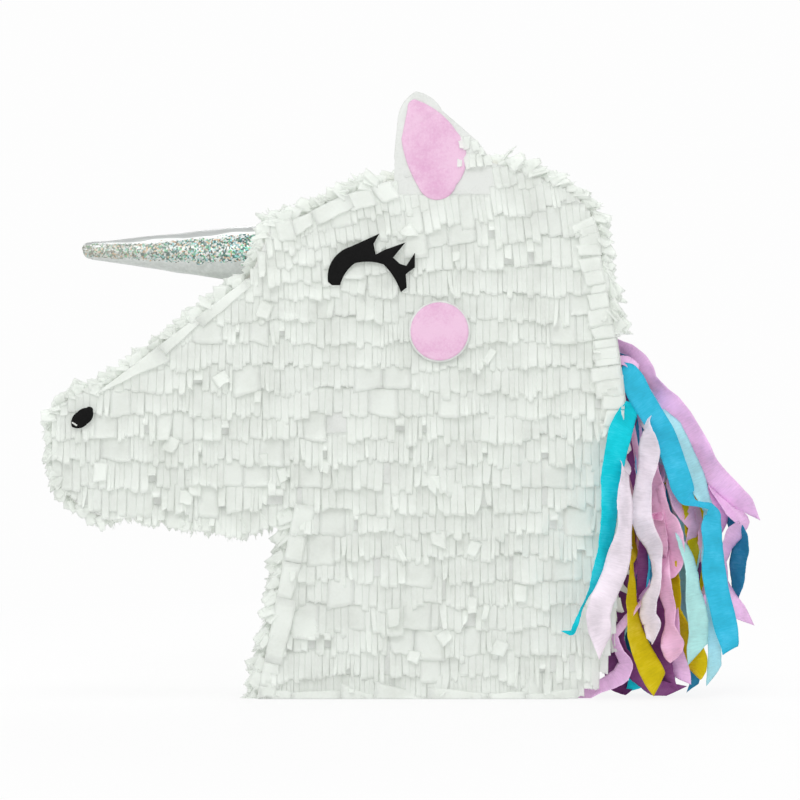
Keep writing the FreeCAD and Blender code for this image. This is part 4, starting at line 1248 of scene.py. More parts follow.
def make_seat_fringe():
    """Tissue round the horn's foot, with tabs that lean out over it."""
    seat_low, seat_high = seat = horn_seat()
    middle_z = (seat_low[1] + seat_high[1]) / 2
    half = panel_face(1) - 0.5
    path = np.array([seat_high, seat_low])
    _, top, bottom = horn_shape()
    rng = np.random.default_rng(25)
    tabs = band_tabs(rng, path, half, (9, 14), (8, 26), (25, 80), (0, 0.15), 0, 7, 0.8)

    def off_axis(points):
        """Distance from the horn's axis less the horn's radius there."""
        centre, radius = horn_axis(top, bottom, points[..., 0])
        return np.hypot(points[..., 1], points[..., 2] - centre) - radius

    roots = tabs[:, 0, 2]
    tabs = tabs[(off_axis(roots) > 1.5) & (off_axis(tabs).min(axis=(1, 2)) > 0.6)]

    def root_ring(count, gap):
        """Places round the horn where it meets its seat, a gap off its surface: x, y, z and the
        direction away from the axis."""
        found = []
        for angle in np.linspace(0, 2 * math.pi, count, endpoint=False):
            up, aside = math.cos(angle), math.sin(angle)
            x, z, radius = meet_seat(seat, (top, bottom), up, middle_z, gap=gap)
            found.append((x - 0.6, -radius * aside, z, aside, up))
        return np.array(found)

    around = root_ring(46, 2.4)
    number = len(around)
    zero = np.zeros(number)
    outward = unit(np.stack([zero - 0.12, -around[:, 3], around[:, 4]], 1))
    forward = np.stack([-np.ones(number), zero, zero - 0.05], 1)
    down = unit(forward + outward * rng.uniform(0.1, 0.7, (number, 1)))
    across = unit(np.cross(down, outward))
    length = rng.uniform(5.5, 9.5, number)
    width = rng.uniform(3.2, 6, number)
    lift = np.radians(rng.uniform(5, 25, number))
    curl = np.radians(rng.uniform(25, 75, number))
    loose = rng.uniform(0, 0.6, number)
    collar = tab_grids(rng, around[:, :3], across, down, outward, length, width, lift, curl, zero, loose)
    collar = collar[(off_axis(collar) > 0.5).all(axis=(1, 2))]
    fringe = thicken(np.concatenate([tabs, collar]), TISSUE_THICKNESS)
    sheet = thicken(band_sheet(path, half, 0.3), SHEET_THICKNESS)
    add_sheets("seat_tissue_fringe", [fringe, sheet], "root")

    # The tissue's edge rolled up round the horn's root.
    ring = root_ring(90, 1.1)[:, :3]
    ring[:, 0] -= 0.6
    thickness = 1.25 + 0.2 * waves(ring, 26, 7)
    ring, thickness = np.concatenate([ring, ring[:2]]), np.concatenate([thickness, thickness[:2]])
    verts, faces = tube(ring, thickness, 10)
    sheet = np.stack([verts[:, 1], verts[:, 2], np.full(len(verts), 0.4)], 1)
    add_piece(build_object("horn_root_roll", verts, faces, WHITE, sheet), "root", "white_tissue")


def make_under_sheets():
    """Plain tissue pasted on the card, which shows in the gaps of the fringe."""
    rise, thickness = 0.35, 0.3
    door_low, door_high = corners("fill_door")
    crease = door_high[2]
    sheets = [(-1, "front_panel", "root"), (1, "back_panel", "root"), (1, "fill_door", "fill_door")]
    for side, panel, body in sheets:
        plane = outer_face(panel, side)
        bm = bmesh.new()
        source = frame["nodes"][panel].data
        level = plane * MM
        index = {}
        for polygon in source.polygons:
            ring = [source.vertices[i].co for i in polygon.vertices]
            if any(abs(co.y - level) > 1e-5 for co in ring):
                continue
            keys = [(round(co.x, 6), round(co.z, 6)) for co in ring]
            for key in keys:
                if key not in index:
                    x, z = key[0] / MM, key[1] / MM
                    near_crease = abs(z - crease) < 0.5 and door_low[0] - 0.5 < x < door_high[0] + 0.5
                    if side > 0 and near_crease:
                        z += -DOOR_CLEARANCE if body == "fill_door" else DOOR_CLEARANCE
                    index[key] = bm.verts.new((x, plane + side * rise, z))
            if len(set(keys)) == len(keys):
                bm.faces.new([index[key] for key in keys])
        front = list(bm.faces)
        extruded = bmesh.ops.extrude_face_region(bm, geom=front)
        moved = [v for v in extruded["geom"] if isinstance(v, bmesh.types.BMVert)]
        bmesh.ops.translate(bm, verts=moved, vec=(0, -side * thickness, 0))
        bmesh.ops.recalc_face_normals(bm, faces=bm.faces)
        piece = put_in_scene(panel + "_tissue", bm, SHADED_WHITE_SHEET)
        co = np.zeros(len(piece.data.vertices) * 3)
        piece.data.vertices.foreach_get("co", co)
        piece.data.vertices.foreach_set("co", co * MM)
        add_piece(piece, body, "white_tissue")


# Ears, cheeks, eyes and nostrils


def add_patch(name, loop, spacing, front, back, material, slot, *nodes):
    """A piece of paper or card over a loop, with its two faces as patch takes them."""
    verts, faces, rim = patch(loop, spacing, front, back)
    sheet = np.stack([verts[:, 0], verts[:, 2], np.full(len(verts), 0.3)], 1)
    piece = fix_normals(build_object(name, verts, faces, material, sheet, rim))
    return add_piece(piece, "root", slot, *nodes)


def cut_out(name, node, side, material, slot, relief, thickness, spacing=1.2):
    """A paper or card shape over a CAD node's outline; relief(points, rim) is its height in
    millimetres above the CAD node's own outer face."""
    face = outer_face(node, side)

    def outer(points, rim):
        return face + side * relief(points, rim)

    def inner(points, rim):
        return face + side * (relief(points, rim) - thickness)

    return add_patch(name, side_loop(node, side), spacing, outer, inner, material, slot, node)


def make_ears():
    """White tissue wrapped round each card ear, with a pink leaf on its outer face."""
    tops = [side_loop("brow_band", -1), side_loop("crown_band", -1)]
    for side, prefix in ((-1, "front"), (1, "back")):
        node = f"{prefix}_ear_cover"
        loop = even_loop(side_loop(node, side), 1.5)
        middle = loop.mean(axis=0)
        wrapped = loop + unit(loop - middle) * 0.45
        plane = outer_face(node, side)
        inner_plane = outer_face(f"{prefix}_panel", -side)
        seed = 31 if side < 0 else 32

        def outer(points, rim):
            bulge = 0.55 * (1 - np.exp(-rim / 2.0)) - 0.35
            return plane + side * (bulge + 0.16 * waves(points, seed, 11) + 0.05 * waves(points, seed + 5, 3))

        def inner(points, rim):
            return inner_plane - side * (0.12 + 0.12 * (1 - np.exp(-rim / 2.0)))

        # The wrapping starts just above the bands.
        raised = []
        for x, z in wrapped:
            over = [high for band in tops for _, high in spans(band, x)]
            raised.append(max(z, (max(over) if over else z) + 0.25))
        wrapped = np.stack([wrapped[:, 0], raised], 1)
        keep = np.linalg.norm(wrapped - np.roll(wrapped, 1, axis=0), axis=1) > 0.05
        add_patch(f"{prefix}_ear_tissue", wrapped[keep], 1.7, outer, inner, SHADED_WHITE_SHEET, "white_sheet", node)

        along = unit(EAR_CREASE[1] - EAR_CREASE[0])

        def leaf(points, rim):
            away = (points - EAR_CREASE[0]) @ np.array([-along[1], along[0]])
            crease = 0.45 * np.exp(-(away / 0.9) ** 2)
            fine = 0.07 * np.sin(points[:, 1] * 2.6 + 0.8 * np.sin(points[:, 0] * 0.25))
            return (0.35 * (1 - np.exp(-rim / 1.5)) - crease * (rim > 0.3) + fine
                    + 0.16 * waves(points, seed + 9, 9) + 0.25)

        cut_out(f"{prefix}_ear_leaf", f"{prefix}_ear_inner", side, PINK, "pink_tissue", leaf, 0.3)


def make_face_parts():
    """Cheeks, eyes and nostrils on both sides."""
    for side, prefix in ((-1, "front"), (1, "back")):
        seed = 41 if side < 0 else 51

        def cheek(points, rim):
            fine = 0.05 * np.sin(points[:, 1] * 3.1 + 0.7 * np.sin(points[:, 0] * 0.3))
            return 0.3 * (1 - np.exp(-rim / 1.2)) + fine + 0.14 * waves(points, seed, 12) + 0.1

        def backing(points, rim):
            return 0.1 * waves(points, seed + 2, 14) - 0.05

        def black(points, rim):
            return 0.3 * (1 - np.exp(-rim / 0.7)) - 0.15 + 0.12 * waves(points, seed + 3, 22)

        cut_out(f"{prefix}_cheek_disc", f"{prefix}_cheek", side, PINK, "pink_tissue", cheek, 0.3, 1.0)
        cut_out(f"{prefix}_cheek_paper", f"{prefix}_cheek_backing", side, SHADED_WHITE_SHEET, "white_sheet",
                backing, 0.35)
        cut_out(f"{prefix}_eye_card", f"{prefix}_eye", side, BLACK, "black_card", black, 0.5, 0.8)
        cut_out(f"{prefix}_nostril_card", f"{prefix}_nostril", side, BLACK, "black_card", black, 0.5, 0.6)

        # A bump on the nostril's upper edge, and a tuft of tissue over its lower end.
        low, high = corners(f"{prefix}_nostril")
        face = outer_face(f"{prefix}_nostril", side)
        around = np.linspace(0, 2 * math.pi, 22, endpoint=False)
        bump = np.stack([high[0] - 2.4 + 2.3 * np.cos(around), high[2] - 1.4 + 2.1 * np.sin(around)], 1)
        slit = np.array([low[0], low[2]]) + [[0.2, 3.4], [1.1, 3.9], [3.9, 2.1], [3.2, 1.3]]
        for name, loop, material, slot, height in (
                ("nostril_edge", bump, BLACK, "black_card", 0.22),
                ("nostril_tuft", slit, WHITE, "white_tissue", 0.6)):
            add_patch(f"{prefix}_{name}", loop, 0.6, lambda points, rim: face + side * (height + 0 * rim),
                      lambda points, rim: face + side * (height - 0.4 + 0 * rim), material, slot)


# Horn


def make_horn():
    """Foil wrapped round the cone, with its wrinkles, overlap and a dent, and its folded tip."""
    tip_x, top, bottom = horn_shape()
    seat = horn_seat()
    around = 120
    lengths = 90
    angles = np.linspace(0, 2 * math.pi, around, endpoint=False)
    off_seat = 0.9
    roots = [meet_seat(seat, (top, bottom), math.cos(angle), HORN_ROOT_Z, off_seat)[0] for angle in angles]
    rows = []
    for step in range(lengths + 1):
        share = step / lengths
        ring = []
        for angle, root_x in zip(angles, roots):
            x = tip_x + (root_x - tip_x) * share
            ring.append((x, *horn_axis(top, bottom, x), angle))
        rows.append(ring)
    data = np.array(rows)
    x, centre, radius, angle = (data[..., i] for i in range(4))
    flat = np.stack([x.ravel() * 0.35, (np.cos(angle) * 6).ravel(), (np.sin(angle) * 6).ravel()], 1)
    wrinkle = waves(flat, 61, 9, 9).reshape(x.shape)
    pleat = np.abs(np.sin(angle * 5.5 + x * 0.035 + 0.6 * np.sin(x * 0.05)))
    near_tip = np.exp(-(x - tip_x) / 14)
    from_overlap = np.mod(angle - 3.6 - 0.004 * (x - tip_x), 2 * math.pi)
    seam = 0.35 * (from_overlap < 0.55)
    dent_x, dent_angle = -131, 1.9
    swirl = np.hypot((x - dent_x) / 1.3, (angle - dent_angle) * 8)
    dent = 0.9 * np.cos(swirl * 1.5) * np.exp(-(swirl / 4) ** 2)
    relief = 0.5 + 0.16 * wrinkle + 0.22 * (1 - pleat) * (0.25 + near_tip) + seam - dent
    relief = np.clip(relief, 0.05, 1.3)
    outer = np.stack([x, -(radius + relief) * np.sin(angle), centre + (radius + relief) * np.cos(angle)], -1)
    inner = np.stack([x, -(radius - 0.02) * np.sin(angle), centre + (radius - 0.02) * np.cos(angle)], -1)
    count = around * (lengths + 1)
    verts = np.concatenate([outer.reshape(-1, 3), inner.reshape(-1, 3)])
    faces = []
    for a, b, c, d in ring_faces(around, lengths):
        faces.append((a, b, c, d))
        faces.append((a + count, d + count, c + count, b + count))
    last = lengths * around
    for j in range(around):
        k = (j + 1) % around
        faces.append((j, j + count, k + count, k))
        faces.append((last + j, last + k, last + k + count, last + j + count))
    piece = fix_normals(build_object("horn_foil", verts, faces, FOIL))
    add_piece(piece, "root", "holographic_foil", "horn_film")
    make_horn_tip(tip_x, top, bottom)


def make_horn_tip(tip_x, top, bottom):
    """The foil gathered and folded over the cone's end."""
    centre_z, radius = horn_axis(top, bottom, tip_x)
    radius += 0.5
    reach = tip_x - corners("horn_tip")[0][0]
    around, steps = 72, 26
    verts = []
    for step in range(steps + 1):
        share = step / steps
        bend = share * math.pi / 2
        for j in range(around):
            angle = 2 * math.pi * j / around
            pleat = 0.16 * math.cos(7 * angle + 2.2 * share) * math.sin(bend) * (1 - share ** 6)
            fold = 0.10 * math.cos(2 * angle + 0.9) * share
            r = radius * (math.cos(bend) ** 0.75 + 0.01) * (1 + pleat + fold)
            skew = 0.9 * share * share
            x = tip_x + 0.6 - (reach + 0.4) * math.sin(bend) * (1 + 0.10 * math.cos(angle - 0.7) * share)
            verts.append((x, -r * math.sin(angle) + 0.4 * skew, centre_z + r * math.cos(angle) + skew))
    faces = [(a, d, c, b) for a, b, c, d in ring_faces(around, steps)]
    faces.append(tuple(range(around)))
    faces.append(tuple(steps * around + j for j in reversed(range(around))))
    piece = fix_normals(build_object("horn_tip_foil", np.array(verts), faces, FOIL))
    add_piece(piece, "root", "holographic_foil", "horn_tip")


# Cord


def rope(path, radius, pitch=5.2, strands=3):
    """Twisted strands round a path, as vertices and faces."""
    path = np.asarray(path, float)
    _, total = resample(path, 2)
    count = max(8, int(total / 0.55))
    line, _ = resample(path, count)
    spots = np.linspace(0, total, count)
    normal, other = across_path(line, [0.2, 0.3, 0.93])
    parts = []
    for strand in range(strands):
        phase = 2 * math.pi * (spots / pitch + strand / strands)
        offset = normal * np.cos(phase)[:, None] + other * np.sin(phase)[:, None]
        parts.append(tube(line + offset * radius * 0.47, radius * 0.53))
    return join_meshes(parts)


def make_cord():
    """The hanging loop folded along the brow, and the two ends knotted under the anchor plate."""
    co = np.array([v.co for v in frame["nodes"]["hanging_loop"].data.vertices]) / MM
    low, high = co.min(axis=0), co.max(axis=0)
    radius = 1.08
    start = co[co[:, 0] > high[0] - 1.0]
    start = np.array([start[:, 0].mean(), 0, start[:, 2].mean()])
    end = co[co[:, 0] < low[0] + 0.6]
    end = np.array([low[0] + radius, 0, end[:, 2].mean()])
    slope = unit(end - start)
    reach = np.linalg.norm(end - start)
    half = high[1] - radius
    bend = np.linspace(math.pi / 2, -math.pi / 2, 15)
    straight = reach - half
    line = [start + [0, half, 0], start + slope * straight + [0, half, 0]]
    for angle in bend[1:-1]:
        line.append(start + slope * (straight + half * math.cos(angle)) + [0, half * math.sin(angle), 0])
    line += [start + slope * straight - [0, half, 0], start - [0, half, 0]]
    piece = build_object("hanging_cord", *rope(line, radius), COTTON)
    add_piece(piece, "hanging_loop", "cotton_cord", "hanging_loop")

    low, high = corners("cord_tail")
    x = (low[0] + high[0]) / 2
    knot = low[2] + 1.65
    parts = []
    for side in (-1, 1):
        y = side * half
        parts.append(rope([(x, y, high[2] - 0.5), (x, y, knot + 1.5), (x, y * 0.8, knot)], radius))
    turns = np.linspace(0, 2.6 * 2 * math.pi, 60)
    across = np.linspace(-half - 0.6, half + 0.6, len(turns))
    bar = np.stack([x + 0.95 * np.cos(turns), across, knot + 0.75 * np.sin(turns)], 1)
    parts.append(rope(bar, 0.8))
    piece = build_object("cord_knot", *join_meshes(parts), COTTON)
    add_piece(piece, "root", "cotton_cord", "cord_tail")


# Mane

STREAMER_WIDTH = 14.5
STREAMER_STEP = 1.25
CREPE_THICKNESS = 0.16
# A streamer turns on edge until it shows this share of its width, and is gathered to show less.
ON_EDGE = 0.6
# Lowest and highest place on the nape that a hidden streamer starts from.
ROOT_LOW, ROOT_HIGH = 165, 212
MANE_TONES = {
    "lilac": (0.86, 0.57, 0.84), "sky": (0.035, 0.54, 0.76), "turquoise": (0.0, 0.64, 0.75),
    "pale_pink": (0.88, 0.80, 0.87), "aqua": (0.45, 0.80, 0.87), "pink": (0.90, 0.56, 0.76),
    "mustard": (0.68, 0.54, 0.0), "mint": (0.50, 0.84, 0.82), "teal": (0.02, 0.24, 0.42),
    "purple": (0.22, 0.055, 0.21),
}
# Each visible streamer: colour, depth at its root and further on, and stations of x, z and the width
# that faces the front, which sets how far the streamer is turned on edge there.
FRONT_STREAMERS = [
    ("lilac", (-14, -16), [(124, 217, 4), (131, 211, 9), (138, 204, 12), (142, 198, 12), (145, 193, 9),
                           (151, 187, 9), (157, 179, 14), (164, 170, 14), (170, 160, 14), (176, 151, 13),
                           (180, 142, 13), (186, 134, 13), (194, 126, 13), (202, 118, 12), (205, 111, 9)]),
    ("lilac", (-10, -11), [(186, 128, 8), (196, 113, 9), (203, 106, 8), (197, 99, 12), (193, 91, 8),
                           (191, 82, 4), (192, 70, 4), (196, 60, 7), (199, 53, 9), (203, 45, 9)]),
    ("lilac", (-27, -27), [(124, 206, 5), (131, 205, 7), (138, 200, 6)]),
    ("sky", (-33, -34), [(126, 199, 12), (130, 197, 15), (134, 192, 15), (138, 183, 16), (145, 172, 16),
                         (151, 162, 15), (156, 151, 14), (160, 139, 14), (163, 129, 14), (166, 122, 12),
                         (171, 118.5, 4), (181, 117, 4), (183, 112, 9), (181, 104, 13), (182, 92, 13),
                         (182, 80, 14), (184, 68, 15), (187, 56, 15), (190, 43, 14), (192, 33, 12),
                         (192, 29, 11)]),
    ("turquoise", (-36, -51.5), [(130, 180, 4), (131, 175, 12), (125, 162, 14.5), (122, 149, 14),
                                 (119, 133, 13), (118, 120, 11), (118, 110, 10), (116, 92, 9.5),
                                 (113, 82, 8), (109, 72, 6), (105, 64, 3), (101, 55, 1.5), (99, 48, 1.5),
                                 (96, 40, 3), (92, 42, 4)]),
    ("pale_pink", (-30, -54), [(128, 140, 6), (127, 127, 8), (127, 115, 9), (127, 106, 10), (126, 98, 12),
                                 (124, 88, 14), (121, 77, 15), (117, 68, 16), (113, 60, 17), (111, 52, 17),
                                 (112, 44, 15), (114, 36, 12), (115, 31, 8)]),
    ("pale_pink", (-34, -41), [(142, 165, 4), (143, 158, 9), (143, 150, 12), (142, 142, 11), (139, 132, 10),
                               (138, 119, 11), (138, 111, 12), (141, 102, 12), (146, 93, 10), (147, 84, 6),
                               (147, 75, 5), (146, 67, 6), (143, 60, 8), (142, 51, 10), (145, 46, 11),
                               (144, 40, 7), (143, 35, 3)]),
    ("aqua", (-22, -23), [(150, 176, 6), (159, 165, 9), (164, 154, 11), (169, 142, 12), (174, 131, 11),
                          (178, 121, 9), (181, 114, 8), (179, 100, 7), (178, 84, 5), (180, 70, 5),
                          (182, 56, 6), (183, 40, 9), (184, 26, 10), (184, 13, 9)]),
    ("pink", (-22, -29), [(146, 150, 4), (148, 135, 6), (149, 127, 8), (148, 118, 9), (147, 107, 8),
                          (148, 112, 9), (150, 103, 7), (152, 94, 6), (152, 87, 5)]),
    ("pink", (-22, -33), [(150, 128, 4), (152, 119, 6), (153, 112, 7), (156, 107, 9), (159, 99, 9),
                          (160, 90, 10), (158, 82, 11), (154, 77, 10), (150, 83, 10), (149, 88, 8)]),
    ("pink", (-37, -40), [(152, 78, 7), (152, 71, 8), (153, 63, 7), (155, 55, 6), (155, 45, 6),
                          (156, 39, 11), (157, 33, 14.5), (158, 27, 9), (158, 23, 2)]),
    ("pink", (-18, -24), [(158, 128, 6), (163, 118, 11), (168, 112, 12), (172, 104, 8), (168, 92, 6)]),
    ("mustard", (-20, -22), [(166, 118, 4), (170, 111, 9), (171, 101, 10), (172, 92, 8), (172, 84, 4),
                             (172, 80, 2)]),
    ("mustard", (-30, -36), [(133, 84, 3), (133, 72, 4), (132, 59, 7), (133, 49, 8), (135, 39, 11),
                             (139, 29, 13), (144, 18, 14.5), (147, 12, 14.5), (149, 8, 12)]),
    ("mustard", (-14, -18), [(139, 92, 3), (141, 84, 5), (141, 74, 6), (141, 66, 6)]),
    ("mustard", (-20, -30), [(158, 82, 5), (159, 72, 7), (159, 62, 7), (159, 54, 6), (162, 46, 9),
                             (166, 38, 8), (170, 31, 11), (172, 24, 14), (172, 18, 13), (172, 14, 6)]),
    ("mint", (-24, -36), [(161, 98, 3), (164, 91, 6), (167, 84, 7), (169, 75, 9), (170, 65, 10),
                          (172, 56, 12), (173, 47, 13), (173, 39, 13), (172, 31, 13), (172, 27, 12)]),
    ("teal", (-4, -6), [(194, 112, 5), (198, 104, 7), (202, 97, 8), (202, 88, 10), (200, 80, 9),
                        (200, 70, 7), (199, 63, 5), (199, 58, 1.5)]),
    ("teal", (-12, -14), [(139, 68, 8), (139, 58, 7), (138, 49, 6), (134, 36, 9), (138, 20, 13),
                          (146, 8, 14), (150, 3, 10)]),
    ("teal", (0, -8), [(160, 50, 8), (164, 32, 10), (170, 16, 9), (174, 10, 6), (172, 4, 5)]),
    ("purple", (-22, -26), [(133, 78, 5), (128, 60, 8), (126, 48, 8), (124, 38, 8), (126, 28, 9),
                            (136, 14, 10), (148, 6, 11), (160, 4, 9)]),
    ("purple", (-12, -16), [(126, 44, 8), (124, 30, 10), (122, 18, 12), (124, 8, 10), (134, 4, 8)]),
    ("purple", (-16, -28), [(150, 60, 6), (150, 44, 9), (150, 30, 11), (152, 18, 12), (156, 7, 9)]),
    ("lilac", (-26, -33), [(140, 60, 3), (122, 38, 4), (125, 28, 6), (129, 21, 8), (126, 14, 9),
                           (120, 10, 8), (112, 6, 7), (104, 4, 11), (97, 3, 12)]),
    ("lilac", (-22, -31), [(157, 50, 8), (158, 34, 9), (160, 24, 11), (162, 16, 11), (163, 11, 9)]),
    ("lilac", (-8, -10), [(183, 124, 5), (187, 117, 8), (190, 108, 8), (186, 94, 6), (185, 80, 5)]),
]
# The colours of the streamers behind, taken in turn, and the mane's outer edge: x at each z.
BACK_COLOURS = ["purple", "teal", "lilac", "sky", "pink", "mustard", "aqua", "turquoise", "purple", "mint",
                "lilac", "teal", "pale_pink", "pink"]
MANE_EDGE_Z = [0, 10, 30, 60, 100, 120, 140, 165, 185, 205]
MANE_EDGE_X = [158, 172, 186, 196, 200, 192, 178, 164, 148, 132]


def smooth_stations(stations, rounding=0.9):
    """Stations turned into an even path whose corners are rounded over a few steps."""
    stations = np.asarray(stations, float)
    gaps = np.linalg.norm(np.diff(stations[:, :3], axis=0), axis=1)
    far = np.concatenate([[0], np.cumsum(gaps)])
    spots = np.linspace(0, far[-1], max(6, int(far[-1] / STREAMER_STEP) + 1))
    line = np.stack([np.interp(spots, far, stations[:, i]) for i in range(stations.shape[1])], 1)
    reach = int(3 * rounding / STREAMER_STEP)
    kernel = np.exp(-0.5 * (np.arange(-reach, reach + 1) * STREAMER_STEP / rounding) ** 2)
    kernel /= kernel.sum()
    before = 2 * line[:1] - line[reach:0:-1]
    after = 2 * line[-1:] - line[-2:-reach - 2:-1]
    padded = np.concatenate([before, line, after])
    return np.stack([np.convolve(padded[:, i], kernel, "valid") for i in range(line.shape[1])], 1)


def creased(angle):
    """A wave with straight slopes and sharp folds."""
    return np.arcsin(np.sin(angle)) * 2 / math.pi


def streamer_grid(rng, stations, columns=10):
    """One crepe streamer as a grid, from stations of x, y, z and the width that faces the front. It
    rises and dips in creases along its length, is cupped across it and is cut at a slant."""
    line = smooth_stations(stations)
    place, facing = line[:, :3], line[:, 3]
    tangent = unit(np.gradient(place, axis=0))
    flat = unit(np.stack([tangent[:, 2], np.zeros(len(line)), -tangent[:, 0]], 1))
    deep = np.cross(tangent, flat)
    shown = facing / STREAMER_WIDTH
    roll = np.arccos(np.clip(shown, ON_EDGE, 1)) * rng.choice([-1, 1])
    side = flat * np.cos(roll)[:, None] + deep * np.sin(roll)[:, None]
    proud = np.cross(side, tangent)
    u = np.linspace(-0.5, 0.5, columns)[None, :]
    rows = len(line)
    s = np.arange(rows) * STREAMER_STEP
    phase = rng.uniform(0, 2 * math.pi, 6)
    swell = 0.7 * creased(s / 9.3 + phase[0])[:, None]
    swell = swell + 0.5 * creased((s / 5.1 + phase[1])[:, None] + 3.5 * u)
    crinkle = rng.normal(0, 0.09, (rows, 1)) + rng.normal(0, 0.05, (rows, columns))
    ruffle = 0.9 * u * creased(s / 6.2 + phase[2])[:, None]
    cup = 2.4 * (0.25 - u * u) * np.sin(s / 16 + phase[4])[:, None]
    rise = swell + crinkle + ruffle + cup
    gathered = np.minimum(shown / ON_EDGE, 1)
    width = STREAMER_WIDTH * (gathered * (1 + 0.012 * np.sin(s / 5.1 + phase[5])))[:, None]
    slant = rng.choice([-1, 1]) * rng.uniform(0.3, 0.9) * np.exp(-(s[-1] - s) / 4)[:, None]
    return (place[:, None] + side[:, None] * (u * width)[..., None] + proud[:, None] * rise[..., None]
            + tangent[:, None] * (slant * u * width)[..., None])


def back_streamers(rng, number):
    """Streamers behind the visible ones and on the far side, which fall the same way."""
    found = []
    for index in range(number):
        y = -22 + 56 * (index + 0.5) / number
        root_z = rng.uniform(163, 212)
        share = rng.uniform(0.1, 0.97)
        end_z = rng.uniform(3, 45) if share < 0.75 else rng.uniform(25, 70)
        stations = [(129, y * 0.85, root_z, 13)]
        for z in np.linspace(root_z - 10, end_z, 7):
            low = 126 + 0.05 * max(0, 60 - z)
            edge = np.interp(z, MANE_EDGE_Z, MANE_EDGE_X) - 7
            x = low + (edge - low) * share * (0.85 + 0.15 * rng.random())
            facing = STREAMER_WIDTH * abs(math.cos(rng.uniform(-1.2, 1.2)))
            stations.append((x, y + rng.uniform(-2, 2), z, facing))
        found.append((BACK_COLOURS[index % len(BACK_COLOURS)], stations))
    order = rng.permutation(number)
    return [found[i] for i in order]


def front_stations(depths, points):
    """Stations of a streamer that is seen from the front, from its depths at the root and further on
    and its points of x, z and width. Where its first point is away from the nape, the streamer comes
    out from behind the others there."""
    root_y, y = depths
    x, z, width = points[0]
    stations = []
    starts_hidden = x > 131 or z < 155
    if starts_hidden:
        root_z = min(ROOT_HIGH, max(ROOT_LOW, z + 22))
        behind = min(max(root_y, y) + 16, 24)
        stations.append((128.5, behind, root_z, 13))
        if z < 150:
            stations.append((min(x, 150) * 0.4 + 128 * 0.6, behind, (root_z + z) / 2 + 10, 10))
        stations.append((x, behind, z + 9, max(width, 9)))
    far = 0.0
    last = (x, z)
    for x, z, width in points:
        far += math.dist((x, z), last)
        last = (x, z)
        share = 1.0 if starts_hidden else min(1, far / 30)
        stations.append((x, root_y + (y - root_y) * share * share * (3 - 2 * share), max(z, 2.5), width))
    return stations


def make_mane():
    """Crepe streamers, one piece for each colour."""
    rng = np.random.default_rng(71)
    groups = {}
    for colour, depths, points in FRONT_STREAMERS:
        groups.setdefault(colour, []).append(streamer_grid(rng, front_stations(depths, points)))
    for colour, stations in back_streamers(rng, 40):
        groups.setdefault(colour, []).append(streamer_grid(rng, stations))

    for colour, grids in groups.items():
        slot = f"crepe_{colour}"
        material = crepe_material(slot, MANE_TONES[colour])
        parts = []
        for number, grid in enumerate(grids):
            parts.append(thicken(keep_clear_of_floor(grid[None], 0.6 + 0.02 * number), CREPE_THICKNESS))
            parts[-1][2][:, 2] = number * 0.618 % 1
        verts, faces, sheet, rim = join_sheets(parts)
        piece = build_object(f"{colour}_streamers", verts, faces, material, sheet, rim)
        add_piece(piece, "mane", slot, f"mane_{colour}")


# Glued sheets on the nape, under the base and over the mane's root


def make_glued_sheets():
    """Tissue pasted over those places, with the small wrinkles of wet paste."""
    names = {"nape_cover": "nape_tissue", "base_cover": "base_tissue", "mane_root": "mane_root_tissue"}
    for node, name in names.items():
        bm = bmesh.new()
        bm.from_mesh(frame["nodes"][node].data)
        bmesh.ops.remove_doubles(bm, verts=bm.verts, dist=1e-6)
        bmesh.ops.triangulate(bm, faces=bm.faces)
        for _ in range(7):
            long = [e for e in bm.edges if e.calc_length() > 4 * MM]
            if not long:
                break
            bmesh.ops.subdivide_edges(bm, edges=long, cuts=1, use_grid_fill=False)
            bmesh.ops.triangulate(bm, faces=bm.faces)
        bm.normal_update()
        co = np.array([v.co for v in bm.verts]) / MM
        height = 0.12 * waves(co, 81, 10) + 0.05 * waves(co, 82, 4)
        outward = np.array([v.normal for v in bm.verts])
        for vert, push, normal in zip(bm.verts, height, outward):
            vert.co = vert.co + Vector(normal) * float(max(-0.1, push) * MM)
            if node == "base_cover":
                vert.co.z = max(vert.co.z, 0.0)
        piece = put_in_scene(name, bm, SHADED_WHITE_SHEET)
        piece.data.polygons.foreach_set("use_smooth", np.ones(len(piece.data.polygons), bool))
        add_piece(piece, "root", "white_sheet", node)


# Camera, light and stage


def make_stage():
    """A wide, pale floor that fades into the background."""
    bm = bmesh.new()
    bmesh.ops.create_grid(bm, x_segments=1, y_segments=1, size=30)
    material, tree, shader, place = node_material("pale_floor", (0.9, 0.9, 0.9), 0.95)
    shader.inputs["Specular IOR Level"].default_value = 0.0
    glow = tree.nodes.new("ShaderNodeEmission")
    glow.inputs["Color"].default_value = (0.985, 0.985, 0.985, 1)
    mix = tree.nodes.new("ShaderNodeMixShader")
    spread = tree.nodes.new("ShaderNodeVectorMath")
    spread.operation = "LENGTH"
    tree.links.new(place, spread.inputs[0])
    fade = tree.nodes.new("ShaderNodeMapRange")
    fade.inputs["From Min"].default_value = 250
    fade.inputs["From Max"].default_value = 900
    fade.inputs["To Min"].default_value = 0.86
    tree.links.new(spread.outputs["Value"], fade.inputs["Value"])
    tree.links.new(fade.outputs["Result"], mix.inputs[0])
    tree.links.new(shader.outputs[0], mix.inputs[1])
    tree.links.new(glow.outputs[0], mix.inputs[2])
    tree.links.new(mix.outputs[0], tree.nodes["Material Output"].inputs["Surface"])
    put_in_scene("floor", bm, material)


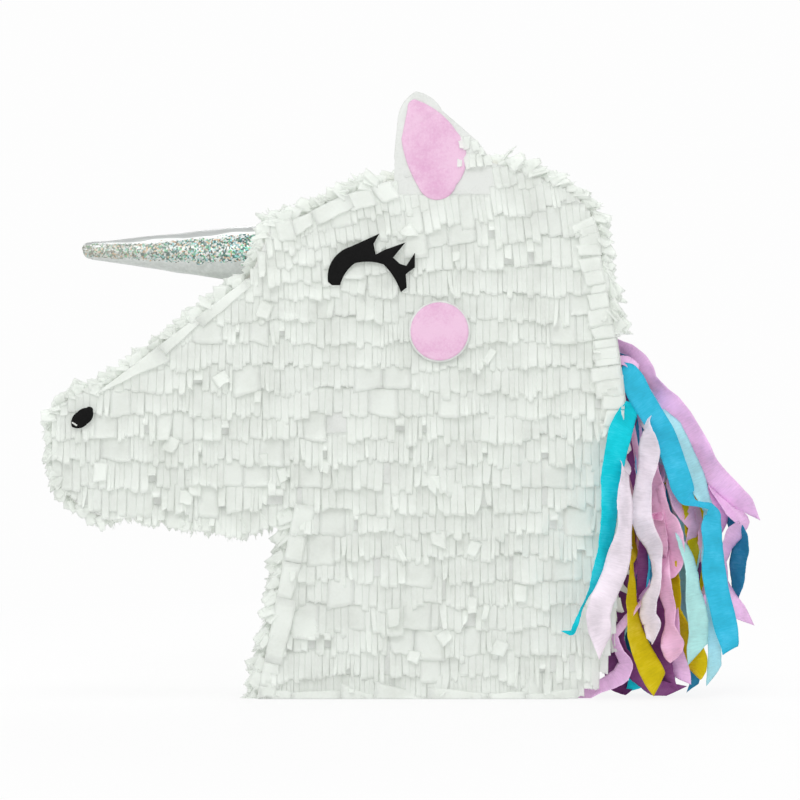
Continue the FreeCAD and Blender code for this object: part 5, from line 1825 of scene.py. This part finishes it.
def make_light():
    """A white studio: soft area lights aimed at the head, and a background a little brighter than the
    light it gives."""
    world = bpy.context.scene.world or bpy.data.worlds.new("studio")
    bpy.context.scene.world = world
    world.use_nodes = True
    tree = world.node_tree
    light = tree.nodes["Background"]
    light.inputs["Color"].default_value = (1.0, 1.0, 1.0, 1)
    light.inputs["Strength"].default_value = 0.5
    seen = tree.nodes.new("ShaderNodeBackground")
    seen.inputs["Color"].default_value = (0.985, 0.985, 0.985, 1)
    path = tree.nodes.new("ShaderNodeLightPath")
    mix = tree.nodes.new("ShaderNodeMixShader")
    tree.links.new(path.outputs["Is Camera Ray"], mix.inputs[0])
    tree.links.new(light.outputs[0], mix.inputs[1])
    tree.links.new(seen.outputs[0], mix.inputs[2])
    tree.links.new(mix.outputs[0], tree.nodes["World Output"].inputs["Surface"])
    for name, place, size, power in (
            ("key_light", (-0.35, -2.0, 1.35), 1.1, 17.5), ("fill_light", (0.7, -2.2, 0.3), 1.3, 7),
            ("back_light", (0.3, 2.1, 1.3), 1.2, 27), ("top_light", (-0.1, -0.3, 2.0), 1.0, 8),
            ("snout_light", (-2.1, -0.2, 1.5), 0.8, 7), ("mane_light", (2.1, 0.3, 1.5), 0.8, 7)):
        lamp = bpy.data.lights.new(name, "AREA")
        lamp.size = size
        lamp.energy = power
        item = bpy.data.objects.new(name, lamp)
        item.location = place
        aim = Vector((0, 0, 0.18)) - Vector(place)
        item.rotation_euler = aim.to_track_quat("-Z", "Y").to_euler()
        bpy.context.scene.collection.objects.link(item)


def make_camera():
    """A camera level with the head's middle, square to its near side."""
    low, high = cad_box
    distance = 2.0
    frame_width = 1.1228 * (high[0] - low[0])
    camera = bpy.data.cameras.new("camera")
    camera.sensor_width = 36
    camera.lens = camera.sensor_width * distance / frame_width
    item = bpy.data.objects.new("camera", camera)
    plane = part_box("front_panel")[0].y
    item.location = ((low[0] + high[0]) / 2 - 0.0005, plane - distance, (low[2] + high[2]) / 2 - 0.0027)
    item.rotation_euler = (math.pi / 2, 0, 0)
    bpy.context.scene.collection.objects.link(item)
    bpy.context.scene.camera = item


def dress_cad_nodes():
    """Procedural materials for the CAD nodes that stay."""
    slots = {s["node"]: s["material_slot"] for s in frame["record"]["subparts"]}
    finishes = {"card": CARD, "white_tissue": WHITE, "white_sheet": SHADED_WHITE_SHEET, "pink_tissue": PINK,
                "black_card": BLACK, "holographic_foil": FOIL, "cotton_cord": COTTON}
    for name, node in frame["nodes"].items():
        for item in node.material_slots:
            item.material = finishes.get(slots[name], SHADED_WHITE_SHEET)


dress_cad_nodes()
make_under_sheets()
make_face_fringe()
make_band_fringe()
make_seat_fringe()
make_ears()
make_face_parts()
make_horn()
make_cord()
make_mane()
make_glued_sheets()
make_stage()
make_light()
make_camera()
bpy.context.scene.view_settings.view_transform = "Standard"
